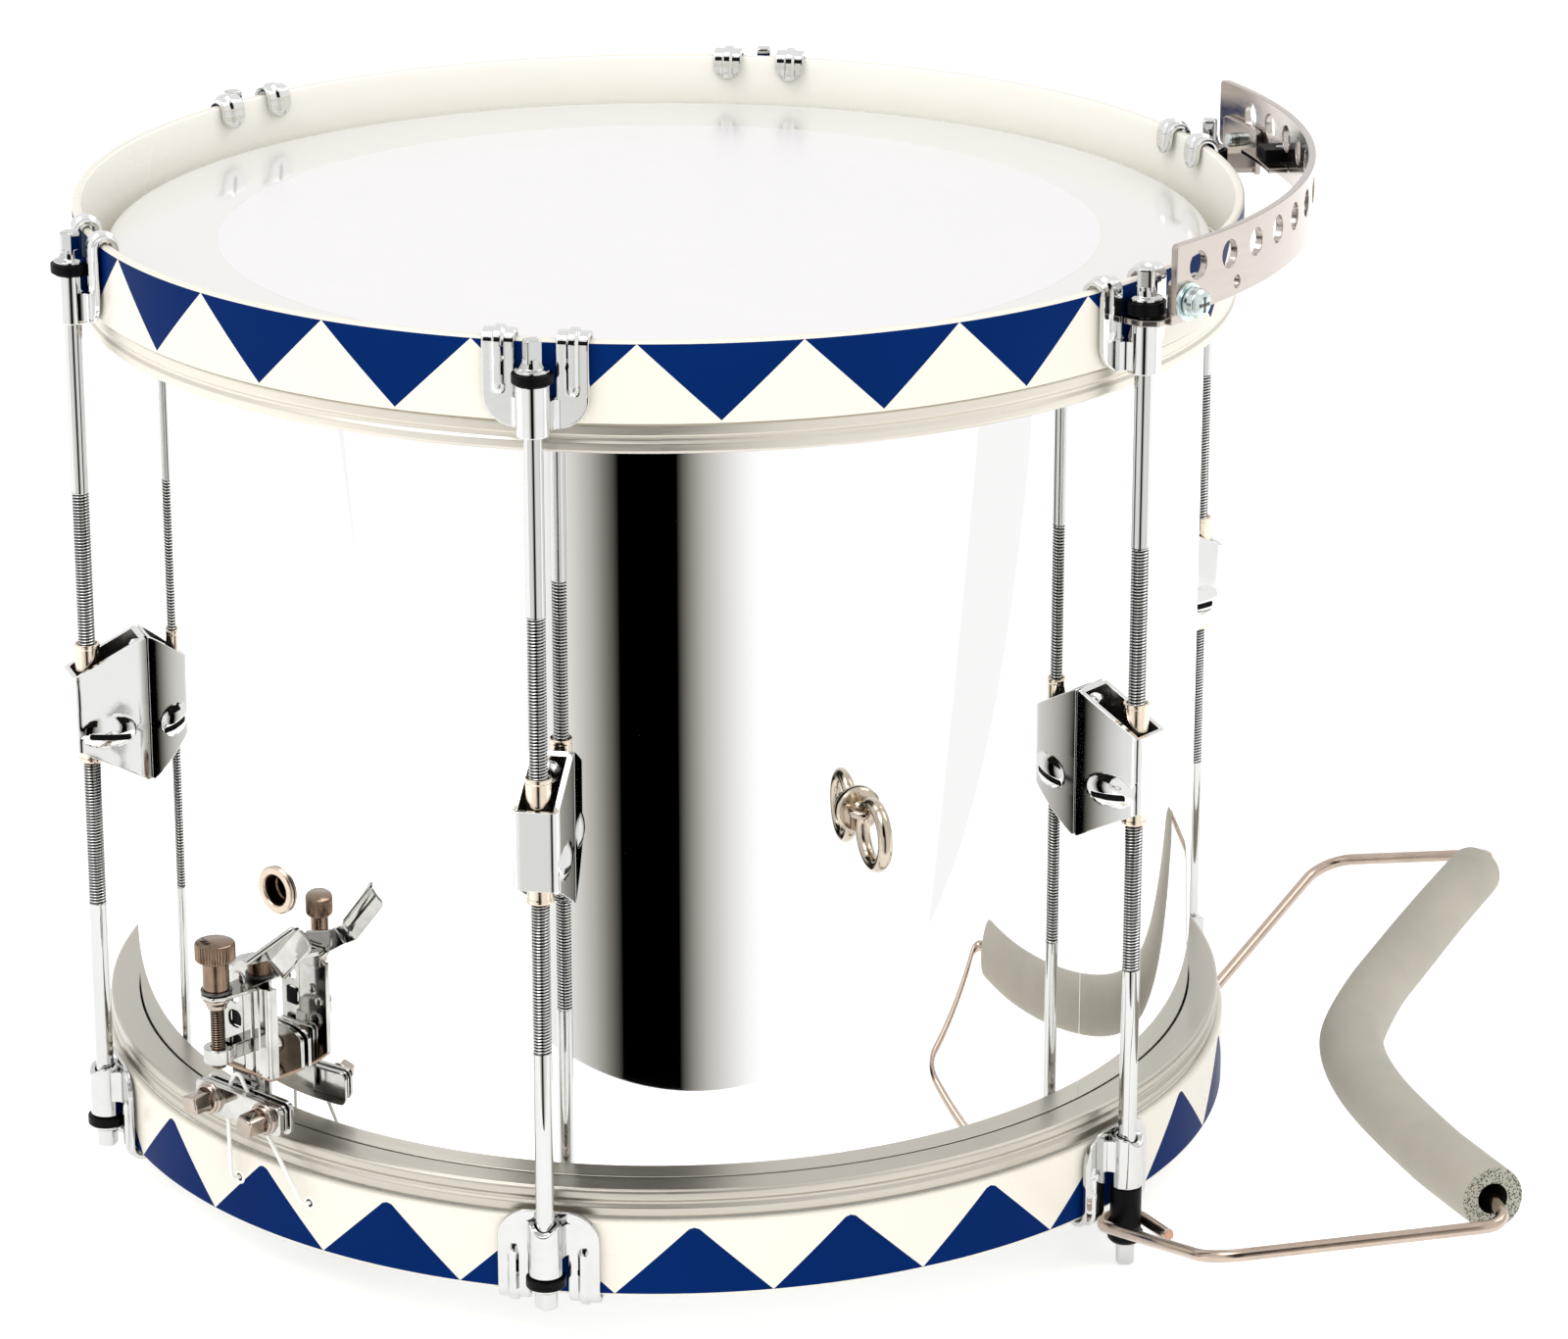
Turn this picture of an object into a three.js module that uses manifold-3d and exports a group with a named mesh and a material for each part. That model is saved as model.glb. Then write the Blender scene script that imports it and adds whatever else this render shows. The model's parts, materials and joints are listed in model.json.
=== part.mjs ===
// Marching side drum, 14 inch heads, 12 inches over the hoops.
// Millimetres, +Z up. The origin is the centre of the top face of the batter head.
// Azimuth 0 faces -Y and grows counter-clockwise seen from above, so a point at
// radius r and azimuth a is (r sin a, -r cos a).
import * as THREE from 'three';
import { mergeVertices } from 'three/addons/utils/BufferGeometryUtils.js';
import Module from 'manifold-3d';

const wasm = await Module();
wasm.setup();

// ---------- driving dimensions ----------
const SEG = 48;                 // facets round every large ring
const STATIONS = [-11.1, 48.9, 108.9, 168.9, 228.9, 288.9]; // tension stations, degrees

const SHELL_R = 176.2;          // outer radius of the shell
const SHELL_WALL = 1.2;
const SHELL_TOP = -0.75;        // top bearing edge
const SHELL_BOTTOM = -272.4;    // lower bearing edge
const FILM = 0.4;               // head film

const HOOP_R = 188;             // counter hoop, outer radius
const HOOP_WALL = 3;
const TOP_HOOP_TOP = 15;        // rim above the batter head
const TOP_HOOP_BOTTOM = -10.4;
const LOW_HOOP_TOP = -265.0;
const LOW_HOOP_BOTTOM = -290.2;

const FLESH_OUT = 186.2;        // flesh hoop that carries each head
const FLESH_IN = 179.2;
const FLESH_HEIGHT = 9.4;

const ROD_R = 193.9;            // radius of the tension rod circle
const ROD_D = 5.8;
const HEAD_SQ = 4.9;            // square rod head
const COLLAR_D = 10.4;
const WASHER_D = 11.8;
const WASHER_H = 3.4;
const TOP_WASHER_Z = 3.1;       // lower face of the washer on the top claw
const LOW_WASHER_Z = -281.2;    // upper face of the washer under the lower claw
const LONG_SPACER = 9.6;        // sleeve on the two rods that hold the knee rest
const RAIL_LIFT = 2.5;          // the rail brackets lift the washers of those two rods
const TALL_WASHER_H = 4.4;

const LUG_HALF = 7.2;           // lug casing, half width
const LUG_OUT = 200.4;          // outer face of the lug casing
const LUG_IN = 176.7;
const LUG_WALL = 1.3;
const NUT_D = 8.7;              // sleeve nut inside each lug
const NUT_BORE = 6.5;
const NUT_TOP = -118.5;
const NUT_BOTTOM = -158.2;

const CLAW_W = 32;              // claw over both fingers
const FINGER_W = 9.8;
const TUBE_D = 10.3;            // rolled socket in the middle of a claw

const STRAINER_A = -43.45;      // azimuth of the snare strainer
const SNARE_A = -41.1;          // azimuth of the snare strands
const BUTT_A = 138.9;
const STEM_R = 202;             // strainer screw
const CORD_D = 2.0;

const VENT_A = -43.45, VENT_Z = -178.4;
const RING_A = 19.4, RING_Z = -138.4;

const RAIL_CX = 17.3, RAIL_CY = -0.5, RAIL_R = 193; // arc of the carrying rail
const RAIL_T = 2.4;
const RAIL_Z0 = 6.9, RAIL_Z1 = 28.9;

const WIRE_D = 4;               // knee rest wire
const FOAM_D = 19;
const FOAM_BORE = 9;

// ---------- small tools ----------
const rad = (d) => d * Math.PI / 180;
const V3 = (x, y, z) => new THREE.Vector3(x, y, z);

// closed three.js geometry to a solid with its faces pointing out
function solid(geometry, matrix) {
  let g = geometry.index ? geometry.clone() : geometry.clone();
  g.deleteAttribute('normal'); g.deleteAttribute('uv');
  if (matrix) g.applyMatrix4(matrix);
  g = mergeVertices(g, 1e-4);
  const pos = g.attributes.position.array;
  let idx = Array.from(g.index.array);
  const clean = [];
  for (let i = 0; i < idx.length; i += 3) {
    const [a, b, c] = [idx[i], idx[i + 1], idx[i + 2]];
    if (a !== b && b !== c && a !== c) clean.push(a, b, c);
  }
  let vol = 0;
  for (let i = 0; i < clean.length; i += 3) {
    const a = clean[i] * 3, b = clean[i + 1] * 3, c = clean[i + 2] * 3;
    vol += pos[a] * (pos[b + 1] * pos[c + 2] - pos[b + 2] * pos[c + 1])
         - pos[a + 1] * (pos[b] * pos[c + 2] - pos[b + 2] * pos[c])
         + pos[a + 2] * (pos[b] * pos[c + 1] - pos[b + 1] * pos[c]);
  }
  if (vol < 0) for (let i = 0; i < clean.length; i += 3) [clean[i + 1], clean[i + 2]] = [clean[i + 2], clean[i + 1]];
  return new wasm.Manifold(new wasm.Mesh({ numProp: 3, vertProperties: new Float32Array(pos), triVerts: new Uint32Array(clean) }));
}
function union(list) { return list.reduce((a, b) => a.add(b)); }

// ring turned round the Z axis: closed outline of [r, z]
function turned(outline, seg = SEG, phase = 0) {
  const pts = outline.map(([r, z]) => new THREE.Vector2(r, z));
  if (outline[0][0] > 1e-6) pts.push(pts[0].clone());
  const g = new THREE.LatheGeometry(pts, seg, rad(phase), Math.PI * 2);
  return solid(g, new THREE.Matrix4().makeRotationX(Math.PI / 2));
}
// a small turned part about a vertical line through (t, -r)
function turnedAt(outline, x, y, seg = 16, z = 0, phase = 0) {
  return turned(outline, seg, phase).translate([x, y, z]);
}
function cyl(r, z0, z1, x, y, seg = 16) {
  return turnedAt([[0, z0], [r, z0], [r, z1], [0, z1]], x, y, seg, 0, 180 / seg);
}
function box(x0, x1, y0, y1, z0, z1) {
  const g = new THREE.BoxGeometry(x1 - x0, y1 - y0, z1 - z0);
  return solid(g, new THREE.Matrix4().makeTranslation((x0 + x1) / 2, (y0 + y1) / 2, (z0 + z1) / 2));
}
const extrudeOpts = (depth) => ({ depth, bevelEnabled: false, curveSegments: 6 });
function shapeOf(points) { return new THREE.Shape(points.map(([a, b]) => new THREE.Vector2(a, b))); }
// outline of [r, z], extruded along the tangent between t0 and t1
function sideways(points, t0, t1) {
  const g = new THREE.ExtrudeGeometry(shapeOf(points), extrudeOpts(t1 - t0));
  const m = new THREE.Matrix4().set(0, 0, 1, t0, -1, 0, 0, 0, 0, 1, 0, 0, 0, 0, 0, 1);
  return solid(g, m);
}
// outline of [t, z], with its thickness between the radii r0 and r1
function facing(shape, r0, r1, seg = 2) {
  const s = Array.isArray(shape) ? shapeOf(shape) : shape;
  const g = new THREE.ExtrudeGeometry(s, { depth: r1 - r0, bevelEnabled: false, curveSegments: seg });
  const m = new THREE.Matrix4().set(1, 0, 0, 0, 0, 0, -1, -r0, 0, 1, 0, 0, 0, 0, 0, 1);
  return solid(g, m);
}
// outline of [t, r], extruded upwards between z0 and z1
function flat(points, z0, z1) {
  const g = new THREE.ExtrudeGeometry(shapeOf(points.map(([t, r]) => [t, -r])), extrudeOpts(z1 - z0));
  return solid(g, new THREE.Matrix4().makeTranslation(0, 0, z0));
}
function roundRect(x0, x1, y0, y1, r, top = true, bottom = true) {
  const s = new THREE.Shape();
  const rb = bottom ? r : 0, rt = top ? r : 0;
  s.moveTo(x0 + rb, y0); s.lineTo(x1 - rb, y0);
  if (rb) s.absarc(x1 - rb, y0 + rb, rb, -Math.PI / 2, 0, false);
  s.lineTo(x1, y1 - rt);
  if (rt) s.absarc(x1 - rt, y1 - rt, rt, 0, Math.PI / 2, false);
  s.lineTo(x0 + rt, y1);
  if (rt) s.absarc(x0 + rt, y1 - rt, rt, Math.PI / 2, Math.PI, false);
  s.lineTo(x0, y0 + rb);
  if (rb) s.absarc(x0 + rb, y0 + rb, rb, Math.PI, 1.5 * Math.PI, false);
  return s;
}
function disc(r, n) {
  const s = new THREE.Shape(); const pts = [];
  for (let i = 0; i < n; i++) { const a = (i + 0.5) / n * 2 * Math.PI; pts.push(new THREE.Vector2(r * Math.cos(a), r * Math.sin(a))); }
  s.setFromPoints(pts); return s;
}
// round bar along a list of points
function bar(points, d, sides, steps, tension = 0.5) {
  const curve = points instanceof THREE.Curve ? points : new THREE.CatmullRomCurve3(points, false, 'centripetal', tension);
  const g = new THREE.ExtrudeGeometry(disc(d / 2, sides), { steps, bevelEnabled: false, extrudePath: curve });
  return solid(g);
}
// corners rounded with short arcs, sampled as a polyline curve
function filleted(points, radii, n = 5) {
  const out = [points[0].clone()];
  for (let i = 1; i < points.length - 1; i++) {
    const p = points[i], a = points[i - 1].clone().sub(p), b = points[i + 1].clone().sub(p);
    const la = a.length(), lb = b.length(); a.normalize(); b.normalize();
    const half = Math.acos(Math.min(1, Math.max(-1, a.dot(b)))) / 2;
    let d = radii[i - 1] / Math.tan(half); d = Math.min(d, la * 0.48, lb * 0.48);
    const p0 = p.clone().addScaledVector(a, d), p2 = p.clone().addScaledVector(b, d);
    for (let k = 0; k <= n; k++) {
      const t = k / n, w0 = (1 - t) * (1 - t), w1 = 2 * t * (1 - t) * Math.sin(half) , w2 = t * t;
      const w = w0 + w1 + w2;
      out.push(p0.clone().multiplyScalar(w0).addScaledVector(p, w1).addScaledVector(p2, w2).multiplyScalar(1 / w));
    }
  }
  out.push(points[points.length - 1].clone());
  return out;
}
// swept round bar through exact points (one section at each point)
function sweep(points, radius, sides) {
  const n = points.length, verts = [], tri = [];
  let up = null;
  for (let i = 0; i < n; i++) {
    const a = points[Math.max(0, i - 1)], b = points[Math.min(n - 1, i + 1)];
    const d = b.clone().sub(a).normalize();
    if (!up) { up = Math.abs(d.z) < 0.9 ? V3(0, 0, 1) : V3(1, 0, 0); }
    up = up.clone().addScaledVector(d, -up.dot(d)).normalize();
    const side = d.clone().cross(up).normalize();
    let stretch = 1, bis = null;
    if (i > 0 && i < n - 1) {
      const u = points[i].clone().sub(points[i - 1]).normalize(), v = points[i + 1].clone().sub(points[i]).normalize();
      const c = Math.min(1, Math.max(-1, u.dot(v))); const h = Math.acos(c) / 2;
      stretch = 1 / Math.cos(h); bis = v.clone().sub(u); if (bis.length() > 1e-6) bis.normalize(); else bis = null;
    }
    for (let k = 0; k < sides; k++) {
      const t = (k + 0.5) / sides * 2 * Math.PI;
      const o = up.clone().multiplyScalar(Math.cos(t) * radius).addScaledVector(side, Math.sin(t) * radius);
      if (bis) o.addScaledVector(bis, o.dot(bis) * (Math.min(stretch, 1.5) - 1));
      verts.push(points[i].x + o.x, points[i].y + o.y, points[i].z + o.z);
    }
  }
  for (let i = 0; i < n - 1; i++) for (let k = 0; k < sides; k++) {
    const a = i * sides + k, b = i * sides + (k + 1) % sides, c = a + sides, d = b + sides;
    tri.push(a, b, d, a, d, c);
  }
  for (let k = 1; k < sides - 1; k++) { tri.push(0, k + 1, k); const o = (n - 1) * sides; tri.push(o, o + k, o + k + 1); }
  const g = new THREE.BufferGeometry();
  g.setAttribute('position', new THREE.BufferAttribute(new Float32Array(verts), 3));
  g.setIndex(tri);
  return solid(g);
}
const at = (a, r, t, z) => { // point from azimuth frame: radius r, tangent offset t
  const s = Math.sin(rad(a)), c = Math.cos(rad(a));
  return V3(r * s + t * c, -r * c + t * s, z);
};

// ---------- materials ----------
const mat = (color, roughness, metalness) => new THREE.MeshStandardMaterial({ color, roughness, metalness });
const CHROME = mat(0xd8d9d6, 0.06, 1);
const SATIN = mat(0xb9b2a4, 0.38, 1);
const BRONZE = mat(0xb08a5e, 0.3, 1);
const NICKEL = mat(0xcfc4b6, 0.22, 1);
const IVORY = mat(0xf1ead8, 0.18, 0);
const BLACK = mat(0x151412, 0.5, 0);
const FILM_M = mat(0xf4f4f0, 0.2, 0);
const FOAM_M = mat(0xb4b0a2, 0.8, 0);
const WHITE_CORD = mat(0xefece2, 0.6, 0);
const COPPER_NI = mat(0xb69a84, 0.28, 1);

const drum = new THREE.Group();
function add(name, body, material, azimuth = 0) {
  const m = body.getMesh();
  const g = new THREE.BufferGeometry();
  g.setAttribute('position', new THREE.BufferAttribute(new Float32Array(m.vertProperties), 3));
  g.setIndex(new THREE.BufferAttribute(new Uint32Array(m.triVerts), 1));
  g.computeVertexNormals();
  const mesh = new THREE.Mesh(g, material);
  mesh.name = name;
  mesh.rotation.z = rad(azimuth);
  drum.add(mesh);
  return mesh;
}
const PHASE = STATIONS[0] + 180 / SEG; // a facet centre faces each station

// ---------- shell and heads ----------
const shellOuter = turned([
  [SHELL_R - SHELL_WALL, SHELL_BOTTOM], [SHELL_R - SHELL_WALL, SHELL_TOP], [SHELL_R - 0.6, SHELL_TOP],
  [SHELL_R, SHELL_TOP - 0.9], [SHELL_R, SHELL_BOTTOM + 0.9], [SHELL_R - 0.6, SHELL_BOTTOM]], SEG, PHASE);
// vent hole, cut along its radius
const ventCut = facing(disc(6.3, 16), SHELL_R - 12, SHELL_R + 12).translate([0, 0, VENT_Z]).rotate([0, 0, VENT_A]);
add('shell', shellOuter.subtract(ventCut), CHROME);

// rolled grommet: outer flange, sleeve through the wall, inner flange
{
  const prof = [[5.0, -2.8], [7.6, -2.8], [7.6, -1.9], [5.85, -1.9], [5.85, 0.35], [8.2, 0.35], [8.0, 1.4], [6.4, 2.0], [5.0, 1.3]];
  const g = turned(prof, 16).rotate([90, 0, 0]).translate([0, -SHELL_R, VENT_Z]);
  add('vent_grommet', g, CHROME, VENT_A);
}

function head(zTop, dir) { // dir +1 for the batter side, -1 for the snare side
  const z = (h) => zTop + dir * h;
  const o = [[0, z(0)], [SHELL_R + 0.6, z(0)], [FLESH_IN - 0.9, z(-2.4)], [FLESH_IN - 0.9, z(-13.5)],
    [FLESH_IN - 0.9 - FILM * 1.6, z(-13.5)], [FLESH_IN - 1.5, z(-2.6)], [SHELL_R + 0.4, z(-FILM)], [0, z(-FILM)]];
  return turned(o, SEG, PHASE);
}
add('batter_head', head(0, 1), FILM_M);
add('snare_head', head(SHELL_BOTTOM - 0.35 - FILM, -1), FILM_M);

function fleshHoop(zNear, dir) { // zNear is the face the counter hoop presses on
  const z = (h) => zNear + dir * h;
  return turned([[FLESH_IN, z(0)], [FLESH_OUT, z(0)], [FLESH_OUT, z(-FLESH_HEIGHT + 2.6)], [FLESH_OUT - 1.4, z(-FLESH_HEIGHT + 2.4)],
    [FLESH_OUT - 0.2, z(-FLESH_HEIGHT)], [FLESH_IN, z(-FLESH_HEIGHT)]], SEG, PHASE);
}
add('batter_flesh_hoop', fleshHoop(TOP_HOOP_BOTTOM - 0.35, 1), SATIN);
add('snare_flesh_hoop', fleshHoop(LOW_HOOP_TOP + 0.35, -1), SATIN);

// ---------- counter hoops ----------
const rim = (zRim, zIn, dir) => turned([
  [HOOP_R - HOOP_WALL, zIn], [HOOP_R - HOOP_WALL, zRim - dir * 1.0], [HOOP_R - HOOP_WALL + 0.9, zRim], [HOOP_R - 0.9, zRim],
  [HOOP_R, zRim - dir * 1.0], [HOOP_R, zIn]], SEG, PHASE);
add('top_hoop', rim(TOP_HOOP_TOP, TOP_HOOP_BOTTOM, 1), IVORY);

const CORD_Z = -274.2;  // snare cords leave through the lower hoop here
const STRAND_Z = -275.3; // and start beside the snare end plates here
const HOLE_L = -45.9, HOLE_R = -36.5;
const BUTT_L = BUTT_A - 3.1, BUTT_R = BUTT_A + 3.1;
let lowHoop = rim(LOW_HOOP_BOTTOM, LOW_HOOP_TOP, -1);
for (const a of [HOLE_L, HOLE_R, BUTT_L, BUTT_R])
  lowHoop = lowHoop.subtract(facing(disc(1.9, 10), HOOP_R - 8, HOOP_R + 6).translate([0, 0, CORD_Z]).rotate([0, 0, a]));
add('bottom_hoop', lowHoop, IVORY);

// ---------- lugs ----------
const LUG_OUT_TOP = -127.6, LUG_OUT_BOT = -152.8, LUG_SH_TOP = -116.4, LUG_SH_BOT = -165.2;
{
  let c = sideways([[LUG_IN, LUG_SH_BOT], [LUG_OUT - 0.8, LUG_OUT_BOT - 0.4], [LUG_OUT, LUG_OUT_BOT], [LUG_OUT, LUG_OUT_TOP],
    [LUG_OUT - 0.8, LUG_OUT_TOP + 0.4], [LUG_IN, LUG_SH_TOP]], -LUG_HALF, LUG_HALF);
  c = c.subtract(box(-LUG_HALF + LUG_WALL, LUG_HALF - LUG_WALL, -LUG_OUT + LUG_WALL, -LUG_IN - LUG_WALL, -220, -60));
  // slot of the pressed louvre in each side wall
  c = c.subtract(box(-LUG_HALF - 2, LUG_HALF + 2, -197.2, -184.4, -152.2, -149.8));
  STATIONS.forEach((a, i) => add(`lug_casing_${i + 1}`, c, CHROME, a));
  const n0 = NUT_BORE / 2, n1 = NUT_D / 2;
  const nut = turnedAt([[n0, NUT_BOTTOM], [n1, NUT_BOTTOM], [n1 - 0.6, NUT_BOTTOM + 3.6], [n1 - 0.6, NUT_TOP - 3.6], [n1, NUT_TOP], [n0, NUT_TOP]], 0, -ROD_R, 10);
  STATIONS.forEach((a, i) => add(`lug_nut_${i + 1}`, nut, BRONZE, a));
}

// ---------- tension rods, each with its washer ----------
{
  const rod = (z0, z1, sides = 8) => cyl(ROD_D / 2, z0, z1, 0, -ROD_R, sides);
  const square = (z0, z1) => box(-HEAD_SQ / 2, HEAD_SQ / 2, -ROD_R - HEAD_SQ / 2, -ROD_R + HEAD_SQ / 2, z0, z1);
  const topRod = (zw, wh) => union([
    rod(NUT_TOP - 16, zw + 1),
    turnedAt([[0, zw + 0.3], [WASHER_D / 2, zw + 0.3], [WASHER_D / 2, zw + wh], [COLLAR_D / 2, zw + wh + 0.2], [COLLAR_D / 2 - 0.2, zw + wh + 1.3],
      [2.7, zw + wh + 4.0], [0, zw + wh + 4.2]], 0, -ROD_R, 12),
    square(zw + wh + 2, zw + wh + 10)]);
  const lw = LOW_WASHER_Z;
  const lowRod = union([
    rod(lw - 1, NUT_BOTTOM + 16),
    turnedAt([[0, lw - 0.3], [WASHER_D / 2, lw - 0.3], [WASHER_D / 2, lw - WASHER_H], [COLLAR_D / 2, lw - WASHER_H - 0.2], [COLLAR_D / 2 - 0.2, lw - WASHER_H - 1.3],
      [3.4, lw - WASHER_H - 2.2], [0, lw - WASHER_H - 2.2]], 0, -ROD_R, 12),
    square(lw - WASHER_H - 7.6, lw - WASHER_H - 1)]);
  const s0 = lw - 0.3, s1 = s0 - LONG_SPACER, w0 = s1 - 5.4, w1 = w0 - WASHER_H;
  const longRod = union([
    rod(w1 - 3, NUT_BOTTOM + 16),
    turnedAt([[0, s0], [5.7, s0], [5.7, s1], [0, s1]], 0, -ROD_R, 12),
    turnedAt([[0, w0], [5.7, w0], [5.7, w1], [3.5, w1 - 1.8], [0, w1 - 1.8]], 0, -ROD_R, 12),
    square(w1 - 8, w1 - 1)]);
  STATIONS.forEach((a, i) => {
    const held = i === 1 || i === 2; // these two also hold the rail and the knee rest
    add(`top_rod_${i + 1}`, held ? topRod(TOP_WASHER_Z + RAIL_LIFT, TALL_WASHER_H) : topRod(TOP_WASHER_Z, WASHER_H), CHROME, a);
    add(`bottom_rod_${i + 1}`, held ? longRod : lowRod, CHROME, a);
  });
}

// ---------- claws: two hooked fingers and a rolled socket ----------
function claw(zRim, zTube0, zTube1, zTip, dir) {
  // drawn for the top hoop (dir = 1); the lower claw is the same shape turned over
  const z = (h) => zRim + dir * h;
  const r0 = HOOP_R + 0.35, r1 = r0 + 1.9;
  const w = CLAW_W / 2, s = w - FINGER_W;
  const plate = new THREE.Shape();
  const tip = Math.abs(zTip - zRim);
  const P = (t, h) => [t, z(h)];
  const pts = [P(-w, 0.4), P(-w, -tip + 10), P(-w + 1.6, -tip + 5.4), P(-w + 4.8, -tip + 2.1), P(-w + 9, -tip + 0.3), P(-w + 11, -tip),
    P(w - 11, -tip), P(w - 9, -tip + 0.3), P(w - 4.8, -tip + 2.1), P(w - 1.6, -tip + 5.4), P(w, -tip + 10), P(w, 0.4),
    P(s, 0.4), P(s, -tip + 9.6), P(-s, -tip + 9.6), P(-s, 0.4)];
  plate.setFromPoints(pts.map(([a, b]) => new THREE.Vector2(a, b)));
  const parts = [facing(plate, r0, r1)];
  const hook = [[r0, z(0)], [r1, z(0)], [r1 - 1.0, z(2.0)], [r0 - 1.2, z(2.6)], [r0 - 3.8, z(2.4)], [r0 - 5.4, z(0.8)],
    [r0 - 6.7, z(-3.4)], [r0 - 7.1, z(-7.2)], [r0 - 5.8, z(-7.2)], [r0 - 5.0, z(-2.6)], [r0 - 4.8, z(0.4)], [r0 - 0.4, z(0.45)]];
  parts.push(sideways(hook, -w, -s), sideways(hook, s, w));
  parts.push(cyl(TUBE_D / 2, Math.min(zTube0, zTube1), Math.max(zTube0, zTube1), 0, -ROD_R, 12));
  const u = union(parts);
  return u.subtract(cyl(3.3, Math.min(zTube0, zTube1) - 5, Math.max(zTube0, zTube1) + 5, 0, -ROD_R, 8));
}
{
  const top = claw(TOP_HOOP_TOP, -12.6, TOP_WASHER_Z, -11.6, 1);
  const low = claw(LOW_HOOP_BOTTOM, LOW_WASHER_Z, -264.0, -261.6, -1);
  STATIONS.forEach((a, i) => { add(`top_claw_${i + 1}`, top, CHROME, a); add(`bottom_claw_${i + 1}`, low, CHROME, a); });
}

// ---------- snare strainer ----------
{
  const A = STRAINER_A;
  // base: plate on the shell with a guide channel for the slider
  const plate = facing(roundRect(-11, 11, -243.4, -221.8, 5), SHELL_R + 0.5, SHELL_R + 2.1);
  const web = facing(roundRect(-5.6, 5.6, -244, -206.8, 1.2), SHELL_R + 0.5, SHELL_R + 2.1);
  const cheekL = facing([[-5.6, -244], [-4.4, -244], [-4.4, -206.8], [-5.6, -206.8]], SHELL_R + 1, 187.2);
  const cheekR = facing([[4.4, -244], [5.6, -244], [5.6, -206.8], [4.4, -206.8]], SHELL_R + 1, 187.2);
  const wing = facing(roundRect(-12.2, -4.6, -240, -208.6, 1.5), 184.4, 185.8);
  const topPlate = flat([[-5.6, SHELL_R + 0.8], [5.6, SHELL_R + 0.8], [5.6, 188.4], [-5.6, 188.4]], -207.9, -206.6);
  const screw = turned([[0, 0], [3.0, 0], [2.4, 1.5], [0, 2.0]], 10).rotate([90, 0, 0]).translate([0, -(SHELL_R + 1.9), -229]);
  const pivot = turned([[0, 0], [1.7, 0], [1.7, 9.6], [0, 9.6]], 10).rotate([90, 0, 0]).translate([0, -183.2, -203.2]);
  const post = box(-2.6, 2.6, -188.0, -SHELL_R - 0.8, -207, -200.6);
  add('strainer_base', union([plate, web, cheekL, cheekR, wing, topPlate, screw, post, pivot]), CHROME, A);

  // slider: half-round column, ear threaded for the screw, back plate of the cord clamp
  const col = [];
  for (let k = 0; k <= 6; k++) { const t = Math.PI * k / 6; col.push([3.9 * Math.cos(t), 186.0 + 3.6 * Math.sin(t)]); }
  col.push([-3.9, 181.4], [3.9, 181.4]);
  const column = flat(col, -247.4, -209.0);
  const arm = box(-3.0, 3.0, -STEM_R, -188.2, -228.2, -222.4);
  const ear = turnedAt([[0, -228.2], [6.2, -228.2], [6.2, -222.4], [0, -222.4]], 0, -STEM_R, 12);
  const back = facing(roundRect(-19, 19, -250.4, -241.2, 2), 188.5, 190.2);
  const slider = union([column, arm, ear, back]).subtract(cyl(2.85, -232, -218, 0, -STEM_R, 8));
  add('strainer_slider', slider, CHROME, A);

  // front plate of the cord clamp with its two square-head screws
  const front = facing(roundRect(-19.3, 19.3, -250.8, -240.8, 2), 192.9, 195.1);
  const key = (t) => union([
    turned([[0, 0], [5.1, 0], [5.1, 1.0], [4.3, 1.6], [0, 1.6]], 12).rotate([90, 0, 0]).translate([t, -195.0, -245.8]),
    box(t - 3.2, t + 3.2, -206.2, -196.2, -249, -242.6),
    turned([[0, 0], [1.8, 0], [1.8, 3], [0, 3]], 6).rotate([90, 0, 0]).translate([t, -190.6, -245.8])]);
  add('strainer_clamp_bar', union([front, key(-12.4), key(12.4)]), CHROME, A);

  // knurled thumb screw
  const knob = turnedAt([[0, -232.4], [2.4, -232.4], [2.4, -208.9], [5.3, -208.9], [5.3, -206.2], [4.1, -203.6], [4.1, -194.4],
    [6.35, -193.6], [6.35, -188.8], [5.6, -187.8], [0, -187.6]], 0, -STEM_R, 16);
  add('strainer_knob', knob, BRONZE, A);

  // lever: pivoted link with a curved gutter handle, swings in a plane along the shell
  const hub = facing(disc(5.2, 12), 190.3, 191.9).translate([0, 0, -203.2]);
  const c = Math.cos(rad(47)), s = Math.sin(rad(47));
  const L = (u, v) => [u * c - v * s, -203.2 + u * s + v * c];
  const link = facing([L(0, -4.2), L(24.5, -4.6), L(26, -2.6), L(26, 2.6), L(24.5, 4.6), L(0, 4.2)], 190.3, 191.9);
  const gut = facing([L(6.5, 4.2), L(6.5, 5.4), L(23.6, 6.4), L(26.2, 4.6), L(25.2, 3.4), L(20, 4.4)], 179.4, 191.9);
  const gut2 = facing([L(24.2, 4.6), L(26.2, 4.6), L(26.2, -4.0), L(24.9, -4.6)], 179.4, 191.9);
  const lever = union([hub, link, gut, gut2]).subtract(facing(disc(2.15, 10), 180, 195).translate([0, 0, -203.2]));
  add('strainer_lever', lever, CHROME, A);
}

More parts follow.
